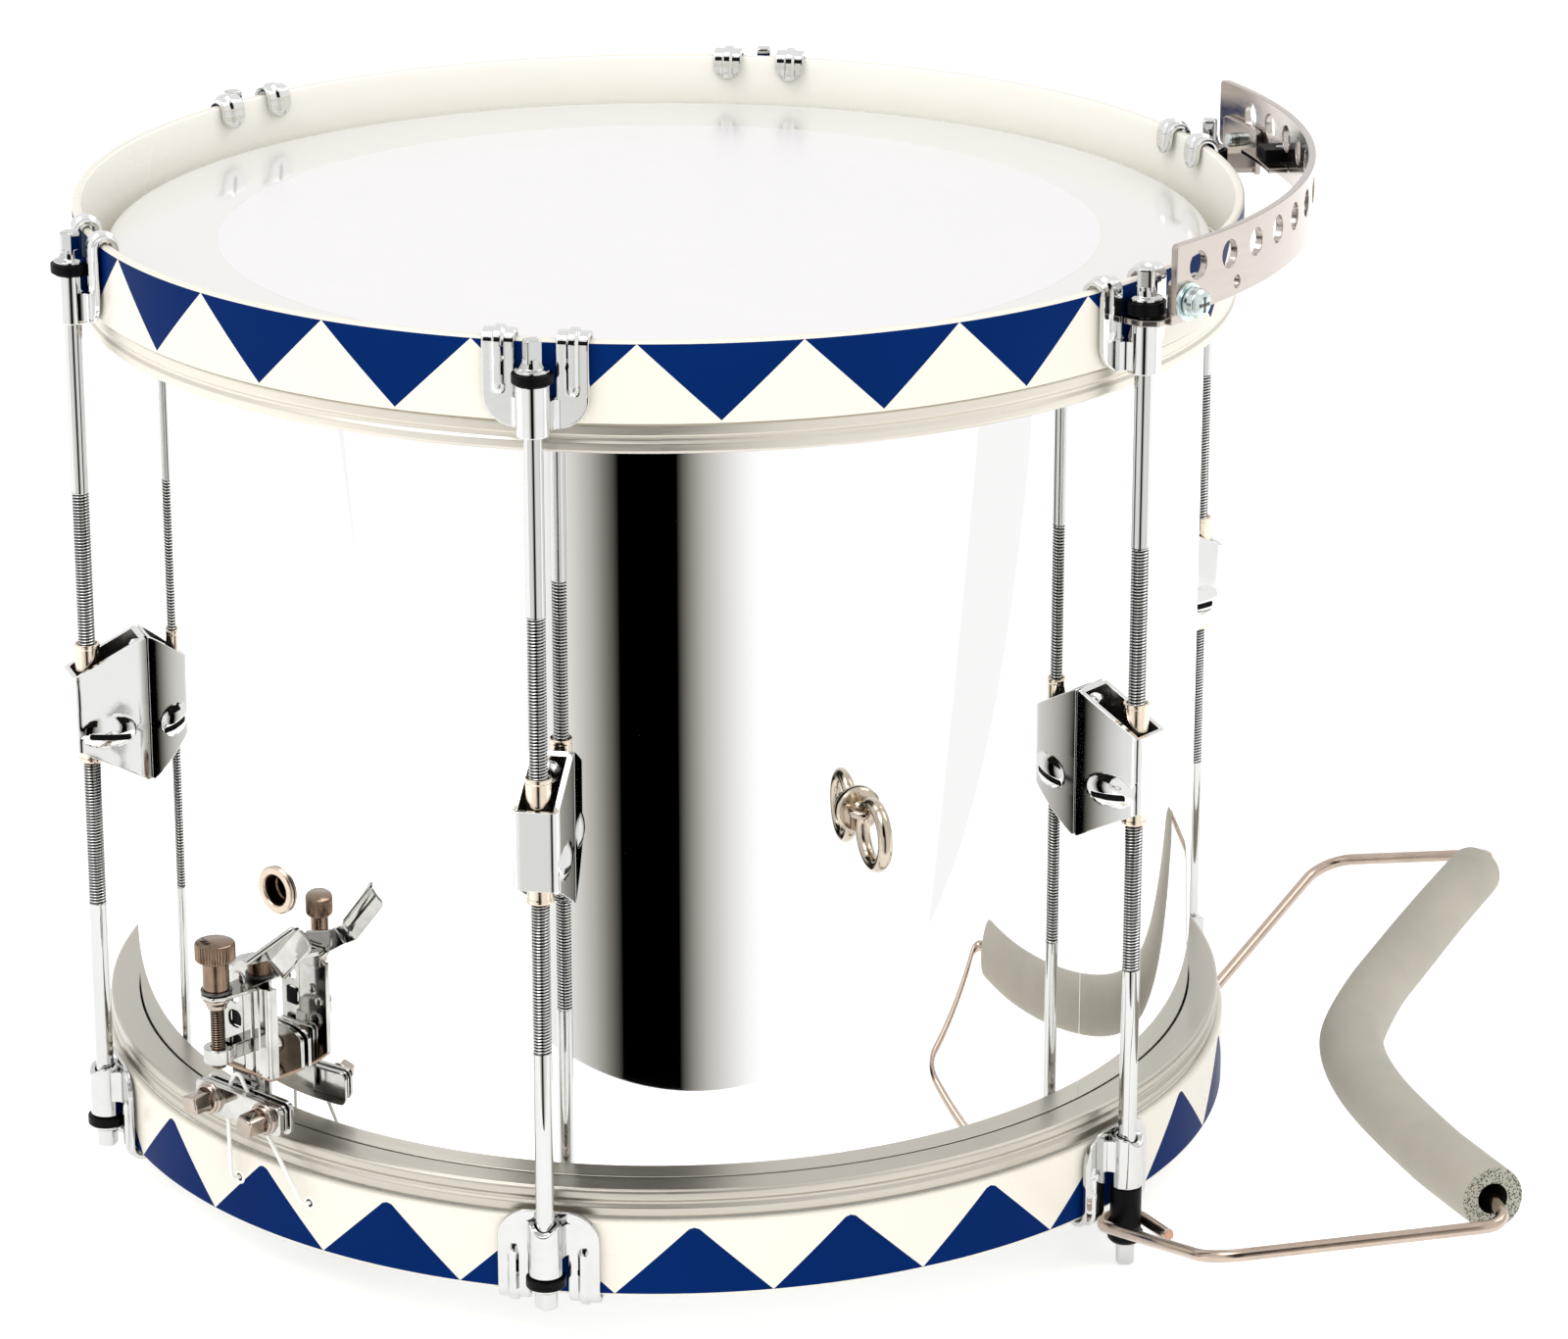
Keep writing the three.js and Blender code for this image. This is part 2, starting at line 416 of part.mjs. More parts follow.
// ---------- butt plate on the far side ----------
{
  const plate = facing(roundRect(-13, 13, -243.4, -219, 4), SHELL_R + 0.5, SHELL_R + 2.1);
  const stand = box(-7, 7, -188.8, -SHELL_R - 1, -243, -232);
  const back = facing(roundRect(-19, 19, -243.6, -231.6, 2), 188.0, 189.9);
  const front = facing(roundRect(-19, 19, -243.6, -231.6, 2), 192.7, 194.6);
  const endL = box(-19, -15.4, -194, -188.4, -242, -233), endR = box(15.4, 19, -194, -188.4, -242, -233);
  const key = (t) => union([
    turned([[0, 0], [4.6, 0], [4.2, 1.5], [0, 1.5]], 10).rotate([90, 0, 0]).translate([t, -194.5, -237.6]),
    box(t - 2.9, t + 2.9, -201.4, -195.4, -240.5, -234.7)]);
  add('snare_butt', union([plate, stand, back, front, endL, endR, key(-12.4), key(12.4)]), CHROME, BUTT_A);
}

// ---------- snares under the lower head ----------
const SNARE_TOP = SHELL_BOTTOM - 0.35 - FILM - 0.35;
{
  const parts = [box(-21, 21, -156, -146, SNARE_TOP - 1.3, SNARE_TOP), box(-21, 21, 146, 156, SNARE_TOP - 1.3, SNARE_TOP)];
  for (let i = 0; i < 10; i++) {
    const t = -18 + i * 4;
    parts.push(box(t - 0.7, t + 0.7, -150, 150, SNARE_TOP - 1.9, SNARE_TOP - 0.4));
  }
  add('snare_wires', union(parts), BRONZE, SNARE_A);
}
// cord ends start beside the end plate, pass the hoop and turn up to the clamp
function cordPath(aMid, aL, aR, endT, up, rClamp, zClamp0, zClamp1, apex, dir) {
  const pL = at(aL, 186.5, 0, CORD_Z), pR = at(aR, 186.5, 0, CORD_Z);
  const eL = at(SNARE_A + (dir < 0 ? 180 : 0), 156.6, -endT, STRAND_Z), eR = at(SNARE_A + (dir < 0 ? 180 : 0), 156.6, endT, STRAND_Z);
  const oL = at(aL, 191.5, 0, CORD_Z + 0.4), oR = at(aR, 191.5, 0, CORD_Z + 0.4);
  const cL0 = at(aMid, rClamp, -up, zClamp0), cR0 = at(aMid, rClamp, up, zClamp0);
  const cL1 = at(aMid, rClamp, apex[0] - 3.4, zClamp1), cR1 = at(aMid, rClamp, apex[0] + 3.4, zClamp1);
  const top = at(aMid, rClamp, apex[0], apex[1]);
  return { raw: [eL, pL, oL, cL0, cL1, top, cR1, cR0, oR, pR, eR], radii: [8, 2.6, 5, 5, 2.4, 5, 5, 2.6, 8] };
}
{
  const s = cordPath(STRAINER_A, HOLE_L, HOLE_R, 13, 8.4, 191.5, -251.6, -240.2, [-3.2, -234.6], 1);
  add('snare_cord_strainer', sweep(filleted(s.raw, s.radii, 2), CORD_D / 2, 8), WHITE_CORD);
  const b = cordPath(BUTT_A, BUTT_L, BUTT_R, 10.1, 8.4, 191.3, -244.6, -230.8, [0, -226.6], -1);
  add('snare_cord_butt', sweep(filleted(b.raw, b.radii, 2), CORD_D / 2, 8), WHITE_CORD);
}

// ---------- strap ring ----------
const EYE_R = 182.0;
{
  const base = turned([[0, 0], [7.2, 0], [7.2, 0.9], [6.4, 1.6], [0, 1.6]], 14).rotate([90, 0, 0]).translate([0, -(SHELL_R + 0.5), RING_Z]);
  // eye lying level, so the ring can swing round it
  const eye = solid(new THREE.TorusGeometry(4.6, 1.15, 8, 16)).translate([0, -EYE_R, RING_Z + 1.2]);
  add('ring_post', union([base, eye]), NICKEL, RING_A);
  const ring = solid(new THREE.TorusGeometry(10.2, 1.8, 8, 24), new THREE.Matrix4().makeRotationY(Math.PI / 2));
  const cr = EYE_R + 10.2 * Math.cos(rad(31)), cz = RING_Z + 1.2 - 10.2 * Math.sin(rad(31));
  const mesh = add('strap_ring', ring.translate([0, -cr, cz]), NICKEL, RING_A);
}

// ---------- carrying rail and its brackets ----------
const railP = (deg, r = RAIL_R) => [RAIL_CX + r * Math.sin(rad(deg)), RAIL_CY - r * Math.cos(rad(deg))];
const RAIL_A0 = 45.35, RAIL_A1 = 115.9;
const REAR_SCREW = 101.0, FRONT_SCREW = 46.9, TAB_SCREW = 111.0;
const onRail = (body, deg, z) => body.translate([0, 0, z]).rotate([0, 0, deg]).translate([RAIL_CX, RAIL_CY, 0]);
const railArc = (d0, d1, r0, r1, z0, z1, n) => {
  const o = [], q = [];
  for (let i = 0; i <= n; i++) { const a = d0 + (d1 - d0) * i / n; o.push(railP(a, r1)); q.push(railP(a, r0)); }
  const g = new THREE.ExtrudeGeometry(shapeOf(o.concat(q.reverse())), extrudeOpts(z1 - z0));
  return solid(g, new THREE.Matrix4().makeTranslation(0, 0, z0));
};
{
  let rail = railArc(RAIL_A0, RAIL_A1, RAIL_R - RAIL_T, RAIL_R, RAIL_Z0, RAIL_Z1, 20);
  const hole = (deg, z, r, n) => { rail = rail.subtract(onRail(facing(disc(r, n), RAIL_R - 12, RAIL_R + 8), deg, z)); };
  for (let k = 0; k < 13; k++) hole(48.5 + k * 5.08, 20.9, 4.3, 10);
  hole(55.0, 11.1, 2.0, 6); hole(106.0, 11.1, 2.0, 6);
  // screws with their washers; they run through the brackets
  const screw = (deg, z, reach) => {
    const head = turned([[0, 0], [6.0, 0], [6.0, 1.3], [5.1, 1.3], [5.1, 2.8], [4.6, 2.8], [4.6, 5.6], [3.4, 6.8], [0, 6.8]], 12).rotate([90, 0, 0]).translate([0, -RAIL_R + 0.2, 0]);
    const stem = turned([[0, 0], [2.4, 0], [2.4, reach + 1], [0, reach + 1]], 8).rotate([90, 0, 0]).translate([0, -RAIL_R + reach, 0]);
    rail = rail.add(onRail(head.add(stem), deg, z));
  };
  screw(FRONT_SCREW, 10.8, 5.2);
  screw(TAB_SCREW, 12.0, 8.0);
  screw(REAR_SCREW, 15.2, 4.0);
  // spacer block behind the third screw
  rail = rail.add(railArc(99.0, 103.0, 183.6, RAIL_R - RAIL_T + 0.3, 12.6, 18.0, 1));
  add('carry_rail', rail, NICKEL);
}
{
  // each bracket: a tongue under the rod washer and an upright tab inside the rail
  const TZ0 = 3.3, TZ1 = 5.2;
  const inner = RAIL_R - RAIL_T - 0.35;
  const bore = (deg, z) => onRail(facing(disc(2.85, 8), RAIL_R - 20, RAIL_R + 8), deg, z);
  const rodHole = (a) => cyl(3.4, TZ0 - 3, TZ1 + 3, 0, -ROD_R, 10).rotate([0, 0, a]);
  const tongue = (a, pts) => flat(pts, TZ0, TZ1).rotate([0, 0, a]);
  {
    const tab = railArc(45.7, 50.2, inner - 1.9, inner, TZ0, 17.0, 2);
    const t = tongue(STATIONS[1], [[-5.8, ROD_R - 4.9], [-5.8, ROD_R - 3.1], [-6.6, ROD_R - 3.1], [-6.6, ROD_R + 3.4], [-3.4, ROD_R + 7.6], [10.0, ROD_R + 8.9], [14.2, ROD_R + 9.3], [14.2, ROD_R + 4.0], [7.2, ROD_R - 3.1], [5.8, ROD_R - 3.1], [5.8, ROD_R - 4.9]]);
    add('rail_bracket_front', tab.add(t).subtract(bore(FRONT_SCREW, 10.8)).subtract(rodHole(STATIONS[1])), NICKEL);
  }
  {
    const tab = railArc(106.4, 114.0, inner - 1.9, inner, TZ0, 18.2, 2);
    const shelf = railArc(98.0, 107.0, 183.8, inner, 10.6, 12.2, 2);
    const t = tongue(STATIONS[2], [[-5.8, ROD_R - 4.9], [-5.8, ROD_R - 3.1], [-7.0, ROD_R - 3.1], [-12.0, ROD_R + 12.2], [-8, ROD_R + 12.9], [6.4, ROD_R + 12.3], [9.0, ROD_R + 10.4], [7.0, ROD_R - 3.1], [5.8, ROD_R - 3.1], [5.8, ROD_R - 4.9]]);
    add('rail_bracket_rear', union([tab, shelf, t]).subtract(bore(TAB_SCREW, 12.0)).subtract(rodHole(STATIONS[2])), NICKEL);
  }
}

// ---------- knee rest ----------
{
  const zl = LOW_WASHER_Z - 0.3 - LONG_SPACER - 2.7;   // level of the wire loops
  const p2 = at(STATIONS[1], ROD_R, 0, zl), p3 = at(STATIONS[2], ROD_R, 0, zl);
  const loop = (c, a0, a1, n, r = 5.6) => { // loop round a rod; angles from +X, counter-clockwise
    const out = [];
    for (let i = 0; i <= n; i++) { const a = rad(a0 + (a1 - a0) * i / n); out.push(V3(c.x + r * Math.cos(a), c.y + r * Math.sin(a), c.z)); }
    return out;
  };
  const LB = V3(164.5, -209.4, -269), LH = V3(255.4, -208.6, -259), LF = V3(252.6, -194.0, -257);
  const UB = V3(238.2, 133.0, -269), UH = V3(294.6, 98.0, -256.5), UF = V3(286.1, 82.3, -257);
  const foam = [LF, V3(246.0, -172.0, -258.8), V3(239.9, -152.0, -260), V3(231.0, -109.3, -263.5), V3(227.2, -76.1, -266.5), V3(227.0, -50.5, -268), V3(230.3, -32.2, -268), V3(240.0, -6.4, -266),
    V3(251.2, 16.7, -264), V3(268.5, 50.0, -260.4), UF];
  const mid = new THREE.CatmullRomCurve3(foam, false, 'centripetal');
  const inner = mid.getPoints(18);
  const start = loop(p2, 60, -100, 9);
  const first = start.map((p) => p);
  const end = loop(p3, -20, 150, 9);
  const runA = filleted([first[first.length - 1], LB, LH, inner[0]], [14, 7], 5);
  const runB = filleted([inner[inner.length - 1], UH, UB, end[0]], [7, 14], 5);
  const path = first.slice(0, -1).concat(runA.slice(0, -1), inner, runB.slice(1, -1), end);
  add('knee_rest_wire', sweep(path, WIRE_D / 2, 8), COPPER_NI);
  const body = sweep(inner, FOAM_D / 2, 12);
  const longer = [inner[0].clone().addScaledVector(inner[0].clone().sub(inner[1]).normalize(), 4)].concat(inner, [inner[18].clone().addScaledVector(inner[18].clone().sub(inner[17]).normalize(), 4)]);
  add('knee_rest_foam', body.subtract(sweep(longer, FOAM_BORE / 2, 8)), FOAM_M);
}

export default drum;
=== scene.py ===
"""Marching side drum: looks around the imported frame.

Lengths are in millimetres until the meshes are made, +Z up, origin at the centre of the
batter head's top face. Azimuth 0 faces -Y and grows towards +X: a point at radius r and
azimuth a is (r sin a, -r cos a). Station parts are drawn at azimuth 0 with x = tangent,
y = -radius, and turned into place.
"""
import math
import bpy
import bmesh
import json
from mathutils import Vector, Matrix, noise
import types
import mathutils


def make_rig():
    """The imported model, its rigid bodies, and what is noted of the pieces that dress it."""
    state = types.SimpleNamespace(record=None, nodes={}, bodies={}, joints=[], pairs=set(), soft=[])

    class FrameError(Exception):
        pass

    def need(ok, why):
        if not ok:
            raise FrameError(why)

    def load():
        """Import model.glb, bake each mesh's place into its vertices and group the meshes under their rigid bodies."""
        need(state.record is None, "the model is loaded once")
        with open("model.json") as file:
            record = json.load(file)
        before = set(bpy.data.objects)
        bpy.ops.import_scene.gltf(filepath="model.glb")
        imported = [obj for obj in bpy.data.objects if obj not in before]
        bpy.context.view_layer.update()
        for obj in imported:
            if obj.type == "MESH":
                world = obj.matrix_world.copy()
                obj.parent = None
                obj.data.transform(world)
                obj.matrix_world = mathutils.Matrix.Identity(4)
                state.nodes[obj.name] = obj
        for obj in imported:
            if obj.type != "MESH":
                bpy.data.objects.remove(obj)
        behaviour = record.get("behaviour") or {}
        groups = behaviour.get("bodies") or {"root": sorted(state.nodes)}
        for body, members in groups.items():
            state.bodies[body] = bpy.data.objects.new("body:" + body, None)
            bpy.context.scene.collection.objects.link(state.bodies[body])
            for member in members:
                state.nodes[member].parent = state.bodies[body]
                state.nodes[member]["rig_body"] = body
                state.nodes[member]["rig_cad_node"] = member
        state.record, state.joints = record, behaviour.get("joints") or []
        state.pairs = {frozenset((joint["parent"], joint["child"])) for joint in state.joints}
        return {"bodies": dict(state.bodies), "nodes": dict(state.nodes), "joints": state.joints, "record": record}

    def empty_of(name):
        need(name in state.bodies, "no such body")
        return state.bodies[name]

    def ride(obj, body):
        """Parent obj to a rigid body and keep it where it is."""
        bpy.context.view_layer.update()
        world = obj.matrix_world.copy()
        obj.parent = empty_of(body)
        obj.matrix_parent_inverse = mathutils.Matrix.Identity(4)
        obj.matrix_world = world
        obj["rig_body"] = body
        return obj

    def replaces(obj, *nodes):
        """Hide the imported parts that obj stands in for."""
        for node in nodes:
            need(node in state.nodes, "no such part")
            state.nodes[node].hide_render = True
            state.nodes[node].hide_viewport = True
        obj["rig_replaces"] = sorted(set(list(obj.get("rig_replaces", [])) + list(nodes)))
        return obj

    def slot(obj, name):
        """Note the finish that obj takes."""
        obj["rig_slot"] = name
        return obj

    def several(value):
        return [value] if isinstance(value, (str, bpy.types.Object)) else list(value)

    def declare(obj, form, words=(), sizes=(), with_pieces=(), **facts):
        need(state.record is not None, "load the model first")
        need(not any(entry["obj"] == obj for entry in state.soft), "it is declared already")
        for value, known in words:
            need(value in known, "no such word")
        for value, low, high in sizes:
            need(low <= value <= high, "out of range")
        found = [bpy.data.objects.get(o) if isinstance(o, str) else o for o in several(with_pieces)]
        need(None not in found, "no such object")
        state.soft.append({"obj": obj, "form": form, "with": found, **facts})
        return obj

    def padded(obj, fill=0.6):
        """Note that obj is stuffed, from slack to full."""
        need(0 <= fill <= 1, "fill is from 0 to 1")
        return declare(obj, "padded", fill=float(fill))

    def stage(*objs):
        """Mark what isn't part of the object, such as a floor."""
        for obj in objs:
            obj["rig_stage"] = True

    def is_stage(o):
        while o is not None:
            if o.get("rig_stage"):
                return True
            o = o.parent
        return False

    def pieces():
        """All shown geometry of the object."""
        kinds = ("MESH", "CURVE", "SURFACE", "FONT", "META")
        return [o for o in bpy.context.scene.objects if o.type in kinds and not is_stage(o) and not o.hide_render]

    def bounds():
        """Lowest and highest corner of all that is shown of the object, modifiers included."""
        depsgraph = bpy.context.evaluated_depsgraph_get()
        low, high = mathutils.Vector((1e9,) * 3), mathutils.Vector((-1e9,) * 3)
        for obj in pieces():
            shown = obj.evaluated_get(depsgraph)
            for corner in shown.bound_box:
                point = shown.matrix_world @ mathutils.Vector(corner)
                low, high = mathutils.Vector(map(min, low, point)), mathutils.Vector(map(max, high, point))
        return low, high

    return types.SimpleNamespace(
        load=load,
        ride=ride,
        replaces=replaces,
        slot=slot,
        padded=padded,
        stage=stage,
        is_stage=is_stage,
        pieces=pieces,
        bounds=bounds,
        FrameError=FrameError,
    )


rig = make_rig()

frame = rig.load()
cad_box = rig.bounds()
rnd = math.radians
PI = math.pi

# ------------------------------------------------------------------ dimensions
ST = [-11.1, 48.9, 108.9, 168.9, 228.9, 288.9]
HEAD_YAW = [31.0, 28.0, 61.0, 8.0, 74.0, 40.0]
SHELL_R, SHELL_T = 176.2, 1.2
SHELL_TOP, SHELL_BOT = -0.75, -272.4
HOOP_R, HOOP_T = 188.0, 3.0
ROD_R = 193.9
STR_A, SNARE_A, BUTT_A = -43.45, -41.1, 138.9
VENT_Z = -178.4
RING_A, RING_Z = 19.4, -138.4
RCX, RCY, RR, RT = 17.3, -0.5, 193.0, 2.4
RAIL_A0, RAIL_A1, RAIL_Z0, RAIL_Z1 = 45.35, 115.9, 6.9, 28.9


# ------------------------------------------------------------------ materials
def material(name):
    m = bpy.data.materials.new(name)
    m.use_nodes = True
    nt = m.node_tree
    for n in list(nt.nodes):
        nt.nodes.remove(n)
    out = nt.nodes.new("ShaderNodeOutputMaterial")
    p = nt.nodes.new("ShaderNodeBsdfPrincipled")
    nt.links.new(p.outputs[0], out.inputs[0])
    return m, nt, p


def node(nt, kind, **kw):
    n = nt.nodes.new(kind)
    for k, v in kw.items():
        setattr(n, k, v)
    return n


def coords(nt, scale=(1, 1, 1)):
    tc = node(nt, "ShaderNodeTexCoord")
    mp = node(nt, "ShaderNodeMapping")
    mp.inputs["Scale"].default_value = scale
    nt.links.new(tc.outputs["Object"], mp.inputs["Vector"])
    return mp.outputs["Vector"]


def noise_tex(nt, vec, scale, detail=4.0, rough=0.5, dist=0.0):
    n = node(nt, "ShaderNodeTexNoise")
    n.inputs["Scale"].default_value = scale
    n.inputs["Detail"].default_value = detail
    n.inputs["Roughness"].default_value = rough
    n.inputs["Distortion"].default_value = dist
    nt.links.new(vec, n.inputs["Vector"])
    return n.outputs["Fac"]


def ramp(nt, fac, stops):
    r = node(nt, "ShaderNodeValToRGB")
    els = r.color_ramp.elements
    while len(els) > 2:
        els.remove(els[-1])
    for i, (pos, col) in enumerate(stops):
        e = els[i] if i < 2 else els.new(pos)
        e.position = pos
        e.color = (*col, 1) if len(col) == 3 else col
    nt.links.new(fac, r.inputs["Fac"])
    return r.outputs["Color"]


def to_range(nt, fac, lo, hi, a=0.3, b=0.7):
    m = node(nt, "ShaderNodeMapRange")
    m.inputs["From Min"].default_value = a
    m.inputs["From Max"].default_value = b
    m.inputs["To Min"].default_value = lo
    m.inputs["To Max"].default_value = hi
    nt.links.new(fac, m.inputs["Value"])
    return m.outputs["Result"]


def bump(nt, p, height, strength, distance):
    b = node(nt, "ShaderNodeBump")
    b.inputs["Strength"].default_value = strength
    b.inputs["Distance"].default_value = distance
    nt.links.new(height, b.inputs["Height"])
    nt.links.new(b.outputs["Normal"], p.inputs["Normal"])
    return b


def metal(name, colour, rough=0.08, vary=0.03, tint=0.04, grain=(1, 1, 1), scale=60.0, bump_strength=0.0):
    m, nt, p = material(name)
    p.inputs["Metallic"].default_value = 1.0
    vec = coords(nt, grain)
    f = noise_tex(nt, vec, scale, 5.0, 0.6)
    lo = tuple(c * (1 - tint) for c in colour)
    hi = tuple(min(1.0, c * (1 + tint)) for c in colour)
    nt.links.new(ramp(nt, f, [(0.3, lo), (0.7, hi)]), p.inputs["Base Color"])
    nt.links.new(to_range(nt, f, max(0.01, rough - vary), rough + vary), p.inputs["Roughness"])
    if bump_strength:
        bump(nt, p, f, bump_strength, 0.0002)
    return m


# mirror shell: almost perfect, with faint rolling and polishing marks
M_SHELL = metal("shell_mirror", (0.93, 0.932, 0.925), 0.022, 0.012, 0.006, (1, 1, 0.15), 9.0)
M_CHROME = metal("chrome", (0.88, 0.885, 0.88), 0.045, 0.02, 0.02, (1, 1, 1), 90.0)
M_PRESSED = metal("chrome_pressed", (0.75, 0.753, 0.745), 0.06, 0.03, 0.03, (1, 1, 1), 140.0, 0.04)
M_RODS = metal("chrome_rod", (0.59, 0.593, 0.583), 0.03, 0.012, 0.02, (1, 1, 0.2), 120.0)
# bronze: the snare end plates' own colour, and painted shade in the bore of the vent grommet
M_BRONZE_AND_BORE_SHADE = metal("bronze", (0.34, 0.255, 0.195), 0.2, 0.07, 0.2, (1, 1, 1), 160.0, 0.06)
M_STRAINER = metal("strainer_metal", (0.53, 0.525, 0.50), 0.09, 0.04, 0.16, (1, 1, 1), 110.0, 0.05)
M_KEY = metal("key_screw_metal", (0.42, 0.36, 0.315), 0.10, 0.04, 0.16, (1, 1, 1), 130.0, 0.05)
M_NUT = metal("nut_bronze", (0.80, 0.68, 0.555), 0.16, 0.05, 0.08, (1, 1, 1), 160.0)
M_NICKEL = metal("nickel_ring", (0.53, 0.455, 0.37), 0.14, 0.06, 0.14, (1, 1, 1), 120.0, 0.08)
M_RAIL = metal("rail_nickel", (0.50, 0.45, 0.412), 0.18, 0.05, 0.05, (1, 1, 6), 60.0, 0.05)
M_GROMMET = metal("grommet_brass", (0.62, 0.52, 0.42), 0.24, 0.05, 0.10, (1, 1, 1), 160.0, 0.04)
M_ZINC = metal("zinc_screw", (0.60, 0.68, 0.67), 0.24, 0.06, 0.1, (1, 1, 1), 220.0, 0.06)
M_WIRE = metal("wire_copper_nickel", (0.50, 0.405, 0.335), 0.18, 0.06, 0.12, (1, 1, 1), 70.0, 0.06)
M_KNOB = metal("knob_bronze_dark", (0.235, 0.163, 0.115), 0.14, 0.05, 0.2, (1, 1, 1), 160.0, 0.06)
M_LUG = metal("chrome_lug", (0.745, 0.745, 0.735), 0.05, 0.02, 0.02, (1, 1, 1), 60.0)
# dull near-black metal for the inside faces of the lug sleeves: painted shade inside the tube
M_LUG_INSIDE_SHADE = metal("nickel_inside", (0.20, 0.19, 0.175), 0.35, 0.08, 0.2, (1, 1, 1), 120.0, 0.1)
M_SHELF = metal("strainer_inside", (0.33, 0.235, 0.175), 0.13, 0.05, 0.2, (1, 1, 1), 90.0, 0.06)
# darker copy of the pressed chrome for the lower claws: painted shade
M_PRESSED_SHADE = metal("chrome_pressed_low", (0.60, 0.602, 0.592), 0.06, 0.03, 0.03, (1, 1, 1), 140.0, 0.04)
M_COPPER = metal("wire_cut_end", (0.52, 0.30, 0.22), 0.35, 0.06, 0.15, (1, 1, 1), 300.0, 0.1)
# near-black metal of the knob's lip, also used as painted shade in the screws' cross recesses
M_DARK_METAL_AND_SHADE = metal("dark_steel", (0.12, 0.115, 0.11), 0.3, 0.06, 0.1, (1, 1, 1), 100.0)


def brushed(name, colour):
    """Flesh hoops: drawn aluminium, brushed round the drum, with small scuffs."""
    m, nt, p = material(name)
    p.inputs["Metallic"].default_value = 1.0
    tc = node(nt, "ShaderNodeTexCoord")
    sep = node(nt, "ShaderNodeSeparateXYZ")
    nt.links.new(tc.outputs["Object"], sep.inputs[0])
    ang = node(nt, "ShaderNodeMath", operation="ARCTAN2")
    nt.links.new(sep.outputs["X"], ang.inputs[0])
    nt.links.new(sep.outputs["Y"], ang.inputs[1])
    comb = node(nt, "ShaderNodeCombineXYZ")
    rz = node(nt, "ShaderNodeVectorMath", operation="LENGTH")
    flat = node(nt, "ShaderNodeCombineXYZ")
    nt.links.new(sep.outputs["X"], flat.inputs[0])
    nt.links.new(sep.outputs["Y"], flat.inputs[1])
    nt.links.new(flat.outputs[0], rz.inputs[0])
    k1 = node(nt, "ShaderNodeMath", operation="MULTIPLY")
    k1.inputs[1].default_value = 2.2
    k2 = node(nt, "ShaderNodeMath", operation="MULTIPLY")
    k2.inputs[1].default_value = 900.0
    k3 = node(nt, "ShaderNodeMath", operation="MULTIPLY")
    k3.inputs[1].default_value = 900.0
    nt.links.new(ang.outputs[0], k1.inputs[0])
    nt.links.new(sep.outputs["Z"], k2.inputs[0])
    nt.links.new(rz.outputs["Value"], k3.inputs[0])
    nt.links.new(k1.outputs[0], comb.inputs[0])
    nt.links.new(k2.outputs[0], comb.inputs[1])
    nt.links.new(k3.outputs[0], comb.inputs[2])
    f = noise_tex(nt, comb.outputs[0], 2.0, 6.0, 0.7)
    g = noise_tex(nt, coords(nt), 420.0, 3.0, 0.6)
    lo = tuple(c * 0.90 for c in colour)
    nt.links.new(ramp(nt, f, [(0.3, lo), (0.68, colour)]), p.inputs["Base Color"])
    nt.links.new(to_range(nt, f, 0.30, 0.45), p.inputs["Roughness"])
    mix = node(nt, "ShaderNodeMath", operation="ADD")
    nt.links.new(f, mix.inputs[0])
    nt.links.new(g, mix.inputs[1])
    bump(nt, p, mix.outputs[0], 0.09, 0.0002)
    return m


M_BRUSHED = brushed("brushed_aluminium", (0.76, 0.715, 0.635))
# darker copy of the brushed aluminium for the lower flesh hoop: painted shade
M_BRUSHED_SHADE = brushed("brushed_aluminium_low", (0.55, 0.515, 0.455))


def dielectric(name, colour, rough=0.4, vary=0.06, scale=60.0, tint=0.05, bump_strength=0.0, bump_scale=None, coat=0.0, spec=0.5, grain=(1, 1, 1), distance=0.0002):
    m, nt, p = material(name)
    vec = coords(nt, grain)
    f = noise_tex(nt, vec, scale, 5.0, 0.6)
    lo = tuple(c * (1 - tint) for c in colour)
    nt.links.new(ramp(nt, f, [(0.3, lo), (0.7, colour)]), p.inputs["Base Color"])
    nt.links.new(to_range(nt, f, max(0.02, rough - vary), rough + vary), p.inputs["Roughness"])
    p.inputs["Specular IOR Level"].default_value = spec
    p.inputs["Coat Weight"].default_value = coat
    p.inputs["Coat Roughness"].default_value = 0.06
    if bump_strength:
        h = noise_tex(nt, vec, bump_scale or scale, 6.0, 0.65)
        bump(nt, p, h, bump_strength, distance)
    return m


M_IVORY = dielectric("lacquer_ivory", (0.72, 0.68, 0.60), 0.24, 0.05, 14.0, 0.015, 0.03, 90.0, 0.1, 0.4)
M_IVORY_IN = dielectric("lacquer_ivory_inside", (0.93, 0.905, 0.83), 0.3, 0.05, 14.0, 0.02, 0.03, 90.0, 0.0, 0.4)
M_BLUE = dielectric("lacquer_blue", (0.0002, 0.0165, 0.107), 0.34, 0.05, 18.0, 0.16, 0.03, 90.0, 0.0, 0.02)
M_HEAD = dielectric("head_film", (0.66, 0.64, 0.615), 0.07, 0.02, 24.0, 0.012, 0.02, 300.0, 0.0, 0.7)
M_HEAD_PATCH = dielectric("head_patch", (0.695, 0.68, 0.685), 0.2, 0.05, 24.0, 0.015, 0.05, 420.0)
M_SNAREHEAD = dielectric("snare_head_film", (0.86, 0.87, 0.86), 0.15, 0.04, 24.0, 0.02, 0.02, 300.0)
M_BLACK = dielectric("nylon_black", (0.002, 0.002, 0.0022), 0.4, 0.07, 160.0, 0.3, 0.05, 500.0, 0.0, 0.08)
# thread roots: near-black metal, painted shade in the grooves of the threads
M_THREAD_ROOT_SHADE = metal("thread_groove", (0.07, 0.068, 0.066), 0.3, 0.05, 0.1, (1, 1, 1), 200.0)
M_CORD = dielectric("cord_white", (0.86, 0.85, 0.80), 0.62, 0.08, 500.0, 0.10, 0.25, 2200.0, 0.0, 0.3)
M_WHITE_TIP = dielectric("rod_end_white", (0.80, 0.81, 0.79), 0.25, 0.05, 160.0, 0.05, 0.0, None, 0.1)


